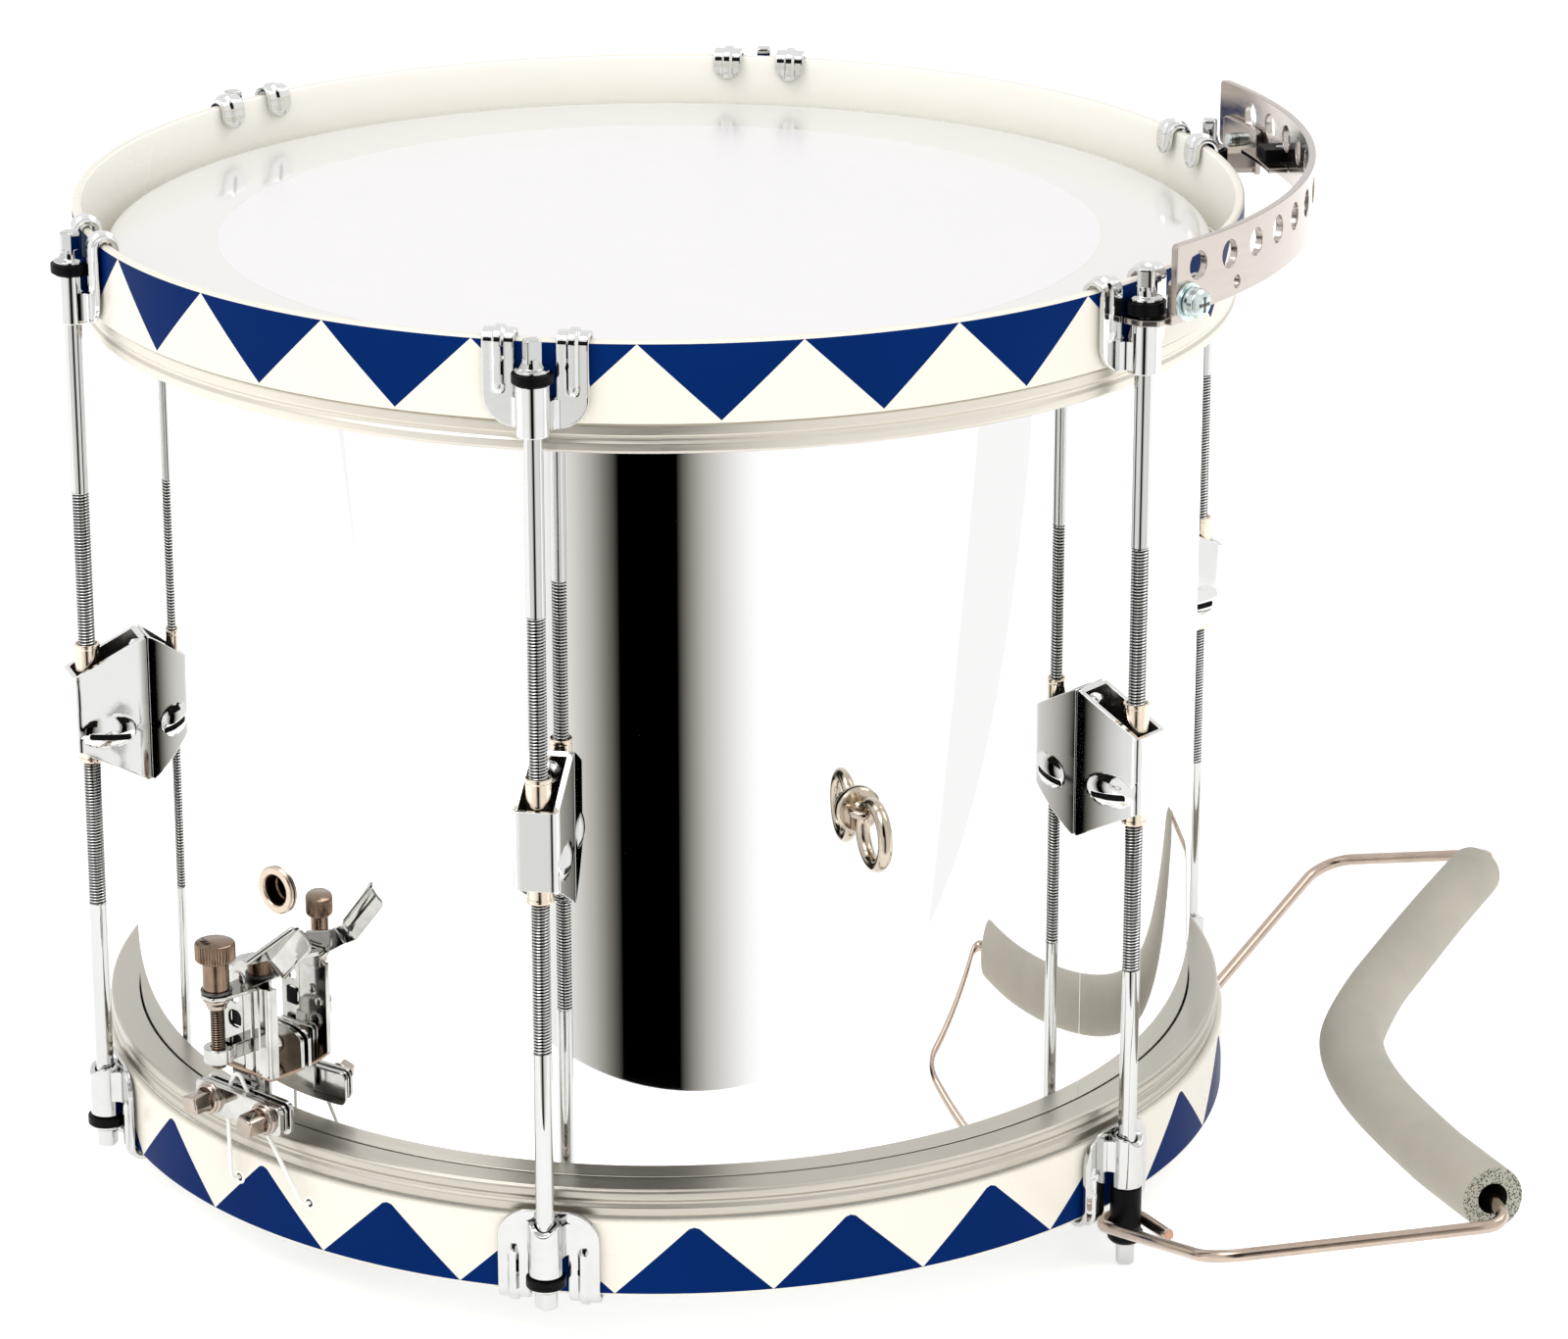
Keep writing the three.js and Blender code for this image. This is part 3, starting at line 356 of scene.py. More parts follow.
def foam_material(name, cut=False):
    """Closed-cell foam tube: soft skin with faint cells; open cells on the cut end, their hollows near-black as
    painted shade.
    """
    m, nt, p = material(name)
    vec = coords(nt)
    v = node(nt, "ShaderNodeTexVoronoi")
    v.inputs["Scale"].default_value = 1450.0 if cut else 1500.0
    nt.links.new(vec, v.inputs["Vector"])
    f = noise_tex(nt, vec, 32.0, 5.0, 0.6)
    g = noise_tex(nt, vec, 1400.0, 4.0, 0.7)
    # cut end: the real cell pattern, with near-black cell hollows as painted shade
    if cut:
        col = ramp(nt, v.outputs["Distance"], [(0.26, (0.022, 0.02, 0.015)), (0.54, (0.36, 0.345, 0.285))])
    else:
        col = ramp(nt, f, [(0.32, (0.36, 0.335, 0.283)), (0.68, (0.41, 0.381, 0.322))])
    nt.links.new(col, p.inputs["Base Color"])
    nt.links.new(to_range(nt, g, 0.55, 0.78), p.inputs["Roughness"])
    p.inputs["Specular IOR Level"].default_value = 0.35
    add = node(nt, "ShaderNodeMath", operation="ADD")
    nt.links.new(v.outputs["Distance"], add.inputs[0])
    nt.links.new(g, add.inputs[1])
    bump(nt, p, add.outputs[0], 0.55 if cut else 0.10, 0.0004 if cut else 0.0002)
    return m


M_FOAM = foam_material("foam_skin")
M_FOAM_CUT = foam_material("foam_cut", True)
# near-black bore of the foam tube: painted shade
M_FOAM_BORE_SHADE = dielectric("foam_bore", (0.016, 0.014, 0.012), 0.8, 0.1, 300.0, 0.3, 0.1, 900.0, 0.0, 0.1)


# ------------------------------------------------------------------ geometry tools
def lathe(profile, n=64, phase=0.0, closed=True):
    """Outline of (r, z) turned round Z. Returns verts, faces."""
    verts, faces, rows = [], [], []
    for r, z in profile:
        if r < 1e-6:
            rows.append([len(verts)])
            verts.append((0.0, 0.0, z))
        else:
            rows.append(list(range(len(verts), len(verts) + n)))
            for k in range(n):
                a = rnd(phase) + 2 * PI * k / n
                verts.append((r * math.sin(a), -r * math.cos(a), z))
    m = len(rows)
    for i in range(m if closed else m - 1):
        A, B = rows[i], rows[(i + 1) % m]
        if len(A) == 1 and len(B) == 1:
            continue
        for k in range(n):
            q = (k + 1) % n
            if len(A) == 1:
                faces.append((A[0], B[k], B[q]))
            elif len(B) == 1:
                faces.append((A[k], B[0], A[q]))
            else:
                faces.append((A[k], B[k], B[q], A[q]))
    return verts, faces


def fillet2(pts, rads, n=4, closed=True):
    """Round the corners of a flat outline; rads is one radius or one per point."""
    m = len(pts)
    if not isinstance(rads, (list, tuple)):
        rads = [rads] * m
    out = []
    for i in range(m):
        p = Vector(pts[i])
        if (not closed and i in (0, m - 1)) or rads[i] <= 1e-6:
            out.append(tuple(p))
            continue
        a = Vector(pts[i - 1]) - p
        b = Vector(pts[(i + 1) % m]) - p
        la, lb = a.length, b.length
        a.normalize()
        b.normalize()
        c = max(-1.0, min(1.0, a.dot(b)))
        half = math.acos(c) / 2
        if half > PI / 2 - 0.01 or half < 0.01:
            out.append(tuple(p))
            continue
        d = min(rads[i] / math.tan(half), la * 0.49, lb * 0.49)
        r = d * math.tan(half)
        mid = (a + b).normalized()
        cen = p + mid * (r / math.sin(half))
        p0, p1 = p + a * d, p + b * d
        u, w = p0 - cen, p1 - cen
        ang = math.acos(max(-1, min(1, u.normalized().dot(w.normalized()))))
        for k in range(n + 1):
            t = k / n
            if ang < 1e-4:
                q = u.lerp(w, t)
            else:
                q = u * (math.sin((1 - t) * ang) / math.sin(ang)) + w * (math.sin(t * ang) / math.sin(ang))
            out.append(tuple(cen + q))
    return out


def fillet3(pts, rads, n=8):
    """Rounded polyline in space, for bent wire."""
    pts = [Vector(p) for p in pts]
    out = [pts[0].copy()]
    for i in range(1, len(pts) - 1):
        p = pts[i]
        a, b = pts[i - 1] - p, pts[i + 1] - p
        la, lb = a.length, b.length
        a.normalize()
        b.normalize()
        half = math.acos(max(-1, min(1, a.dot(b)))) / 2
        if half > PI / 2 - 0.01:
            out.append(p.copy())
            continue
        r = rads[i - 1]
        d = min(r / math.tan(half), la * 0.48, lb * 0.48)
        r = d * math.tan(half)
        cen = p + (a + b).normalized() * (r / math.sin(half))
        u, w = p + a * d - cen, p + b * d - cen
        ang = math.acos(max(-1, min(1, u.normalized().dot(w.normalized()))))
        for k in range(n + 1):
            t = k / n
            out.append(cen + u * (math.sin((1 - t) * ang) / math.sin(ang)) + w * (math.sin(t * ang) / math.sin(ang)))
    out.append(pts[-1].copy())
    return out


def resample(points, step):
    """Points spaced evenly by step along a polyline, ends kept."""
    pts = [Vector(p) for p in points]
    acc = [0.0]
    for a, b in zip(pts, pts[1:]):
        acc.append(acc[-1] + (b - a).length)
    total = acc[-1]
    n = max(2, int(round(total / step)))
    out, j = [], 0
    for i in range(n + 1):
        s = total * i / n
        while j < len(acc) - 2 and acc[j + 1] < s:
            j += 1
        seg = acc[j + 1] - acc[j]
        out.append(pts[j].lerp(pts[j + 1], (s - acc[j]) / seg if seg > 1e-9 else 0.0))
    return out


def catmull(points, per=8):
    P = [Vector(p) for p in points]
    P = [P[0] * 2 - P[1]] + P + [P[-1] * 2 - P[-2]]
    out = []
    for i in range(1, len(P) - 2):
        p0, p1, p2, p3 = P[i - 1:i + 3]
        for k in range(per):
            t = k / per
            out.append(0.5 * ((2 * p1) + (p2 - p0) * t + (2 * p0 - 5 * p1 + 4 * p2 - p3) * t * t + (3 * p1 - p0 - 3 * p2 + p3) * t ** 3))
    out.append(P[-2].copy())
    return out


def frames(points, closed=False):
    """Moving frame without twist along points."""
    n = len(points)
    tan = []
    for i in range(n):
        a = points[i - 1] if (i > 0 or closed) else points[i]
        b = points[(i + 1) % n] if (i < n - 1 or closed) else points[i]
        tan.append((b - a).normalized())
    up = Vector((0, 0, 1)) if abs(tan[0].z) < 0.9 else Vector((1, 0, 0))
    ups = []
    for t in tan:
        up = (up - t * up.dot(t)).normalized()
        ups.append(up.copy())
    return tan, ups


def sweep(points, radius, sides=12, closed=False, caps=True, shape=None, round_ends=0.0):
    """Round bar along points. radius may be a list; shape(i, angle) may change it."""
    points = [Vector(p) for p in points]
    tan, ups = frames(points, closed)
    n = len(points)
    verts, faces = [], []
    for i in range(n):
        r = radius[i] if isinstance(radius, (list, tuple)) else radius
        side = tan[i].cross(ups[i])
        for k in range(sides):
            a = 2 * PI * k / sides
            rr = r * (shape(i, a) if shape else 1.0)
            verts.append(tuple(points[i] + ups[i] * (math.cos(a) * rr) + side * (math.sin(a) * rr)))
    for i in range(n if closed else n - 1):
        j = (i + 1) % n
        for k in range(sides):
            q = (k + 1) % sides
            faces.append((i * sides + k, i * sides + q, j * sides + q, j * sides + k))
    if not closed and caps:
        for end, sgn in ((0, -1), (n - 1, 1)):
            base = end * sides
            if round_ends:
                prev = [base + k for k in range(sides)]
                r0 = radius[end] if isinstance(radius, (list, tuple)) else radius
                side = tan[end].cross(ups[end])
                for step in (1, 2, 3):
                    th = step / 3 * PI / 2
                    if step == 3:
                        c = len(verts)
                        verts.append(tuple(points[end] + tan[end] * sgn * round_ends))
                        for k in range(sides):
                            faces.append((prev[k], prev[(k + 1) % sides], c))
                    else:
                        row = []
                        for k in range(sides):
                            a = 2 * PI * k / sides
                            rr = r0 * math.cos(th)
                            row.append(len(verts))
                            verts.append(tuple(points[end] + tan[end] * sgn * round_ends * math.sin(th) + ups[end] * (math.cos(a) * rr) + side * (math.sin(a) * rr)))
                        for k in range(sides):
                            faces.append((prev[k], prev[(k + 1) % sides], row[(k + 1) % sides], row[k]))
                        prev = row
            else:
                faces.append(tuple(base + k for k in range(sides)))
    return verts, faces


def plate(loops, thick, bev=0.2, res=2):
    """Flat plate from closed outlines (first the outside, then holes), z from -thick/2 to thick/2."""
    cu = bpy.data.curves.new("tmp", "CURVE")
    cu.dimensions = "2D"
    cu.fill_mode = "BOTH"
    for lp in loops:
        s = cu.splines.new("POLY")
        s.points.add(len(lp) - 1)
        for p, q in zip(s.points, lp):
            p.co = (q[0], q[1], 0, 1)
        s.use_cyclic_u = True
    cu.extrude = thick / 2 - bev
    cu.bevel_depth = bev
    cu.bevel_resolution = res
    cu.offset = -bev
    o = bpy.data.objects.new("tmp", cu)
    bpy.context.scene.collection.objects.link(o)
    dg = bpy.context.evaluated_depsgraph_get()
    me = bpy.data.meshes.new_from_object(o.evaluated_get(dg))
    bm = bmesh.new()
    bm.from_mesh(me)
    bmesh.ops.remove_doubles(bm, verts=bm.verts, dist=1e-4)
    bpy.data.objects.remove(o)
    bpy.data.curves.remove(cu)
    bpy.data.meshes.remove(me)
    return bm


def slice_bm(bm, axis, values):
    no = [0, 0, 0]
    no[axis] = 1
    for v in values:
        co = [0, 0, 0]
        co[axis] = v
        bmesh.ops.bisect_plane(bm, geom=bm.verts[:] + bm.edges[:] + bm.faces[:], dist=1e-5, plane_co=co, plane_no=no)
    return bm


def steps(a, b, step):
    n = max(1, int(math.ceil((b - a) / step)))
    return [a + (b - a) * i / n for i in range(n + 1)]


def bm_data(bm, fn=None):
    """Vertices (mapped by fn) and faces of a bmesh, which is freed."""
    bm.verts.index_update()
    verts = [tuple(fn(v.co)) if fn else tuple(v.co) for v in bm.verts]
    faces = [tuple(v.index for v in f.verts) for f in bm.faces]
    bm.free()
    return verts, faces


def box_bm(x0, x1, y0, y1, z0, z1, bev=0.3, seg=2):
    bm = bmesh.new()
    bmesh.ops.create_cube(bm, size=1.0)
    for v in bm.verts:
        v.co = Vector(((x0 + x1) / 2 + v.co.x * (x1 - x0), (y0 + y1) / 2 + v.co.y * (y1 - y0), (z0 + z1) / 2 + v.co.z * (z1 - z0)))
    if bev:
        bmesh.ops.bevel(bm, geom=bm.edges[:], offset=bev, offset_type="OFFSET", segments=seg, profile=0.5, affect="EDGES", clamp_overlap=True)
    return bm


def box(*a, **k):
    return bm_data(box_bm(*a, **k))


def join(*parts):
    verts, faces = [], []
    for v, f in parts:
        o = len(verts)
        verts += list(v)
        faces += [tuple(i + o for i in q) for q in f]
    return verts, faces


def moved(part, m):
    v, f = part
    return [tuple(m @ Vector(p)) for p in v], f


def turn(part, az):
    return moved(part, Matrix.Rotation(rnd(az), 4, "Z"))


def shift(part, x=0.0, y=0.0, z=0.0):
    return moved(part, Matrix.Translation((x, y, z)))


def radial(part, r, z, t=0.0):
    """A turned part made along +Z is laid along the outward radius, its base at radius r."""
    return moved(part, Matrix.Translation((t, -r, z)) @ Matrix.Rotation(PI / 2, 4, "X"))


def tangential(part, t, r, z):
    """A turned part made along +Z is laid along +tangent, its base at t."""
    return moved(part, Matrix.Translation((t, -r, z)) @ Matrix.Rotation(PI / 2, 4, "Y"))


def at(a, r, t, z):
    s, c = math.sin(rnd(a)), math.cos(rnd(a))
    return Vector((r * s + t * c, -r * c + t * s, z))


ALL = []


def piece(name, part, mat, body="drum", az=0.0, node=None, slot=None, sharp=38.0, mats=None, face_mat=None, weld=True, flats=True):
    """Makes the object: millimetres to metres, turned to its azimuth, smooth with sharp edges kept."""
    verts, faces = turn(part, az) if az else part
    bm = bmesh.new()
    vs = [bm.verts.new((p[0] * 0.001, p[1] * 0.001, p[2] * 0.001)) for p in verts]
    for i, f in enumerate(faces):
        if len(set(f)) < 3:
            continue
        try:
            nf = bm.faces.new([vs[j] for j in f])
            if face_mat:
                nf.material_index = face_mat(i)
        except ValueError:
            pass
    if weld:
        bmesh.ops.remove_doubles(bm, verts=bm.verts, dist=1e-7)
    bmesh.ops.recalc_face_normals(bm, faces=bm.faces)
    me = bpy.data.meshes.new(name)
    bm.to_mesh(me)
    bm.free()
    for m in (mats or [mat]):
        me.materials.append(m)
    me.polygons.foreach_set("use_smooth", [True] * len(me.polygons))
    me.set_sharp_from_angle(angle=rnd(sharp))
    ob = bpy.data.objects.new(name, me)
    bpy.context.scene.collection.objects.link(ob)
    if flats and len(me.polygons) < 60000:
        # flat faces keep their own normals, so only the bends and bevels shade round
        md = ob.modifiers.new("flats", "WEIGHTED_NORMAL")
        md.keep_sharp = True
        md.weight = 60
        dg = bpy.context.evaluated_depsgraph_get()
        baked = bpy.data.meshes.new_from_object(ob.evaluated_get(dg))
        ob.modifiers.remove(md)
        ob.data = baked
        bpy.data.meshes.remove(me)
        baked.name = name
    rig.ride(ob, body)
    if node:
        for nn in ([node] if isinstance(node, str) else node):
            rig.replaces(ob, nn)
    if slot:
        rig.slot(ob, slot)
    ALL.append(ob)
    return ob


# ------------------------------------------------------------------ camera
def set_camera():
    cd = bpy.data.cameras.new("Camera")
    cd.sensor_fit = "HORIZONTAL"
    cd.sensor_width = 36.0
    cd.lens = 127.38
    cd.clip_start, cd.clip_end = 0.05, 50.0
    cam = bpy.data.objects.new("Camera", cd)
    bpy.context.scene.collection.objects.link(cam)
    cam.location = (0.0, -1.74012, 0.45112)
    cam.rotation_euler = (rnd(90 - 19.086), 0.0, rnd(-1.321))
    bpy.context.scene.camera = cam


set_camera()


# ------------------------------------------------------------------ shell and heads
def build_shell():
    o, i = SHELL_R, SHELL_R - SHELL_T
    N = 288
    # rows of the outside are even; the outline has a rolled edge at both ends
    prof = [(i, SHELL_BOT + 0.5), (i, SHELL_TOP - 0.5), (i + 0.15, SHELL_TOP - 0.15), (o - 0.6, SHELL_TOP), (o - 0.2, SHELL_TOP - 0.3), (o, SHELL_TOP - 1.0)]
    zs = [SHELL_TOP - 1.0 - (SHELL_TOP - SHELL_BOT - 2.0) * k / 16 for k in range(1, 16)]
    prof += [(o, z) for z in zs]
    prof += [(o, SHELL_BOT + 1.0), (o - 0.2, SHELL_BOT + 0.3), (o - 0.6, SHELL_BOT), (i + 0.15, SHELL_BOT + 0.15)]
    verts, faces = lathe(prof, N)
    # the outside is kept as it is; the lapped seam is added below as a raised line
    out = []
    for (x, y, z) in verts:
        out.append((x, y, z))
    ob = piece("shell_body", (out, faces), M_SHELL, node="shell", slot="shell_chrome", sharp=30, flats=False)
    # cut the vent hole
    cut = radial(lathe([(0, 0), (6.25, 0), (6.25, 20), (0, 20)], 48), SHELL_R - 10, VENT_Z + 0.6, 1.0)
    cut = turn(cut, STR_A)
    cm = bpy.data.meshes.new("cut")
    cm.from_pydata([(a * 0.001, b * 0.001, c * 0.001) for a, b, c in cut[0]], [], cut[1])
    co = bpy.data.objects.new("cut", cm)
    bpy.context.scene.collection.objects.link(co)
    bmx = bmesh.new()
    bmx.from_mesh(cm)
    bmesh.ops.recalc_face_normals(bmx, faces=bmx.faces)
    bmx.to_mesh(cm)
    bmx.free()
    md = ob.modifiers.new("vent", "BOOLEAN")
    md.operation = "DIFFERENCE"
    md.solver = "EXACT"
    md.object = co
    dg = bpy.context.evaluated_depsgraph_get()
    me = bpy.data.meshes.new_from_object(ob.evaluated_get(dg))
    ob.modifiers.remove(md)
    old = ob.data
    ob.data = me
    bpy.data.meshes.remove(old)
    bpy.data.objects.remove(co)
    me.polygons.foreach_set("use_smooth", [True] * len(me.polygons))
    me.set_sharp_from_angle(angle=rnd(30))
    # seam: fine raised lap line
    s = box_bm(-0.35, 0.35, -(SHELL_R + 0.06), -(SHELL_R - 0.3), SHELL_BOT + 6.5, SHELL_TOP - 8.0, 0.05, 1)
    piece("shell_seam", bm_data(s), M_CHROME, az=48.1)
    # grommet of the air hole: flat flange on the shell; the bore takes the darker bronze as painted shade inside the
    # hole
    g = lathe(fillet2([(5.0, 0.75), (5.35, 1.2), (7.2, 1.2), (7.75, 0.75), (7.75, 0.03), (5.95, 0.03), (5.95, 0.0)], [0.1, 0.3, 0.4, 0.3, 0.1, 0.0, 0.0], 4), 72)
    piece("vent_grommet_ring", radial(g, SHELL_R, VENT_Z + 0.6, 1.0), M_GROMMET, az=STR_A, node="vent_grommet", slot="trim_chrome")
    b = lathe(fillet2([(5.0, 0.78), (5.9, 0.05), (5.9, -4.6), (4.5, -4.6), (4.3, -4.2), (4.75, -3.6), (4.85, 0.2)], [0.05, 0.1, 0.4, 0.2, 0.2, 0.3, 0.3], 3), 72)
    piece("vent_grommet_bore", radial(b, SHELL_R, VENT_Z + 0.6, 1.0), M_BRONZE_AND_BORE_SHADE, az=STR_A, slot="trim_chrome")


def build_heads():
    N = 240
    for nm, z0, d, m, patch in (("batter_head", 0.0, 1, M_HEAD, True), ("snare_head", SHELL_BOT - 0.35 - 0.4, -1, M_SNAREHEAD, False)):
        Z = lambda h: z0 + d * h
        film = 0.4
        rows = [(0.0, Z(0))]
        for r in (20, 40, 60, 80, 100, 120, 140, 155, 168, 174.5):
            rows.append((r, Z(0)))
        rows += [(176.4, Z(-0.10)), (177.4, Z(-0.7)), (178.0, Z(-1.9)), (178.25, Z(-4)), (178.3, Z(-13.4)), (177.7, Z(-13.4)), (177.65, Z(-4)), (177.2, Z(-2.0)), (176.8, Z(-1.0)), (176.2, Z(-film - 0.05)), (174.5, Z(-film)), (0.0, Z(-film))]
        piece(nm + "_film", lathe(rows, N, closed=False), m, node=nm, slot="head_film", sharp=60)
        if patch:
            pr = [(0, 0.0), (141.4, 0.0), (142.0, 0.03), (142.3, 0.10), (142.0, 0.16), (141.0, 0.18), (0, 0.18)]
            pr = [(0, 0.18), (141.0, 0.18), (141.9, 0.15), (142.3, 0.03), (142.3, 0.005), (0, 0.005)]
            piece("batter_head_patch", lathe(pr, N, closed=False), M_HEAD_PATCH, slot="head_film", sharp=60)


def build_flesh_hoops():
    N = 240
    ztop = -10.75
    for nm, z0, d in (("batter_flesh_hoop", ztop, 1), ("snare_flesh_hoop", -265.0 + 0.35, -1)):
        Z = lambda h: z0 + d * h
        out = [(179.3, Z(-0.1)), (186.0, Z(-0.1)), (186.15, Z(-3.4)), (185.45, Z(-4.4)), (185.45, Z(-5.2)), (186.1, Z(-6.2)), (186.1, Z(-9.3)), (176.6, Z(-9.3)), (176.6, Z(-7.6)), (179.3, Z(-7.2))]
        pr = fillet2(out, [0.5, 0.9, 0.8, 0.5, 0.5, 0.9, 1.3, 0.3, 0.3, 0.3], 4)
        # the lower flesh hoop takes the darker copy: painted shade
        piece(nm + "_ring", lathe(pr, N), M_BRUSHED if d > 0 else M_BRUSHED_SHADE, node=nm, slot="flesh_hoop_metal", sharp=50)


TRI = dict(top=(-62.116, 15.0, 14.0, 23.4, 1), low=(-64.982, 15.0, -289.2, 22.2, -1))


def build_hoops():
    """Counter hoops. The outside is cut along the edges of the triangles, so the colours meet in a clean line."""
    for nm, key, z_rim, z_in, d in (("top_hoop", "top", 15.0, -10.4, 1), ("bottom_hoop", "low", -290.2, -265.0, -1)):
        j0, pitch, zb, depth, dd = TRI[key]
        sub = 30                       # columns for each triangle
        N = 24 * sub
        flat = 0.045 if key == "low" else 0.0   # the lower row has slightly blunt tips
        ro, ri = HOOP_R, HOOP_R - HOOP_T
        Z = lambda h: z_rim - d * h     # h measured from the rim edge inwards
        H = abs(z_rim - z_in)
        # rows on the outside: rim round, blue base, triangle edge, lower edge
        verts, faces, fmat = [], [], []
        base_h = abs(z_rim - zb)
        cols = []
        for k in range(N):
            a = rnd(j0 + pitch * k / sub)
            u = (k % sub) / sub
            tri = 1 - abs(2 * u - 1)
            tri = min(1.0, tri / (1 - flat))
            e = base_h + depth * tri * 0.999
            e = min(e, H - 0.9)
            hs = [base_h]
            # outside rows: rounding of the rim, base line, edge line, plain to the far edge
            rows = [(ri + 0.35, 0.28), (ri + 0.95, 0.0), (ro - 0.95, 0.0), (ro - 0.35, 0.28), (ro, min(0.95, base_h - 0.02)),
                    (ro, base_h), (ro, e), (ro, H - 0.85), (ro - 0.25, H - 0.25), (ro - 0.85, H), (ri + 0.85, H), (ri + 0.25, H - 0.25), (ri, H - 0.85)]
            for q in range(1, 8):
                rows.append((ri, H - 0.85 - (H - 1.8) * q / 8))
            rows.append((ri, 0.95))
            col = []
            for r, h in rows:
                col.append(len(verts))
                verts.append((r * math.sin(a), -r * math.cos(a), Z(h)))
            cols.append(col)
        R = len(cols[0])
        for k in range(N):
            A, B = cols[k], cols[(k + 1) % N]
            for q in range(R):
                w = (q + 1) % R
                fa = (A[q], A[w], B[w], B[q])
                faces.append(fa)
                fmat.append(1 if q == 5 else (2 if q >= 11 else 0))
        ob = piece(nm + "_ring", (verts, faces), None, node=nm, slot="hoop_lacquer", sharp=50, mats=[M_IVORY, M_BLUE, M_IVORY_IN], face_mat=lambda i: fmat[i], weld=False)
        if key == "low":
            # brass-free plain eyelets where the snare cords come out
            for a in (-45.9, -36.5, BUTT_A - 3.1, BUTT_A + 3.1):
                e = lathe([(1.25, 0.0), (2.3, 0.0), (2.15, 0.35), (1.45, 0.35)], 24)
                piece("cord_eyelet_%d" % len(ALL), radial(e, HOOP_R - 0.02, -274.2), M_IVORY_IN, az=a)
                # black disc in each eyelet: painted shade in the cord hole
                h = lathe([(0, 0.0), (1.9, 0.0), (1.9, 0.12), (0, 0.12)], 20)
                piece("cord_hole_%d" % len(ALL), radial(h, HOOP_R - 0.05, -274.2), M_BLACK, az=a)


# ------------------------------------------------------------------ lugs
def u_section(half, r_out, r_in, bend, n=6):
    """Middle line of the bent sheet seen from above: list of (t, r), from the left wall to the right."""
    pts = [(-half, r_in), (-half, r_out), (half, r_out), (half, r_in)]
    return fillet2(pts, [0, bend, bend, 0], n, closed=False)


def path_map(path):
    P = [Vector(p) for p in path]
    acc = [0.0]
    for a, b in zip(P, P[1:]):
        acc.append(acc[-1] + (b - a).length)
    nrm = []
    for i in range(len(P)):
        a = P[max(0, i - 1)]
        b = P[min(len(P) - 1, i + 1)]
        t = (b - a).normalized()
        nrm.append(Vector((-t.y, t.x)))

    def f(s):
        if s <= 0:
            return P[0] + (P[1] - P[0]).normalized() * s, nrm[0]
        if s >= acc[-1]:
            return P[-1] + (P[-1] - P[-2]).normalized() * (s - acc[-1]), nrm[-1]
        lo = 0
        hi = len(acc) - 1
        while hi - lo > 1:
            m = (lo + hi) // 2
            if acc[m] <= s:
                lo = m
            else:
                hi = m
        k = (s - acc[lo]) / (acc[hi] - acc[lo])
        return P[lo].lerp(P[hi], k), nrm[lo].lerp(nrm[hi], k).normalized()
    return f, acc


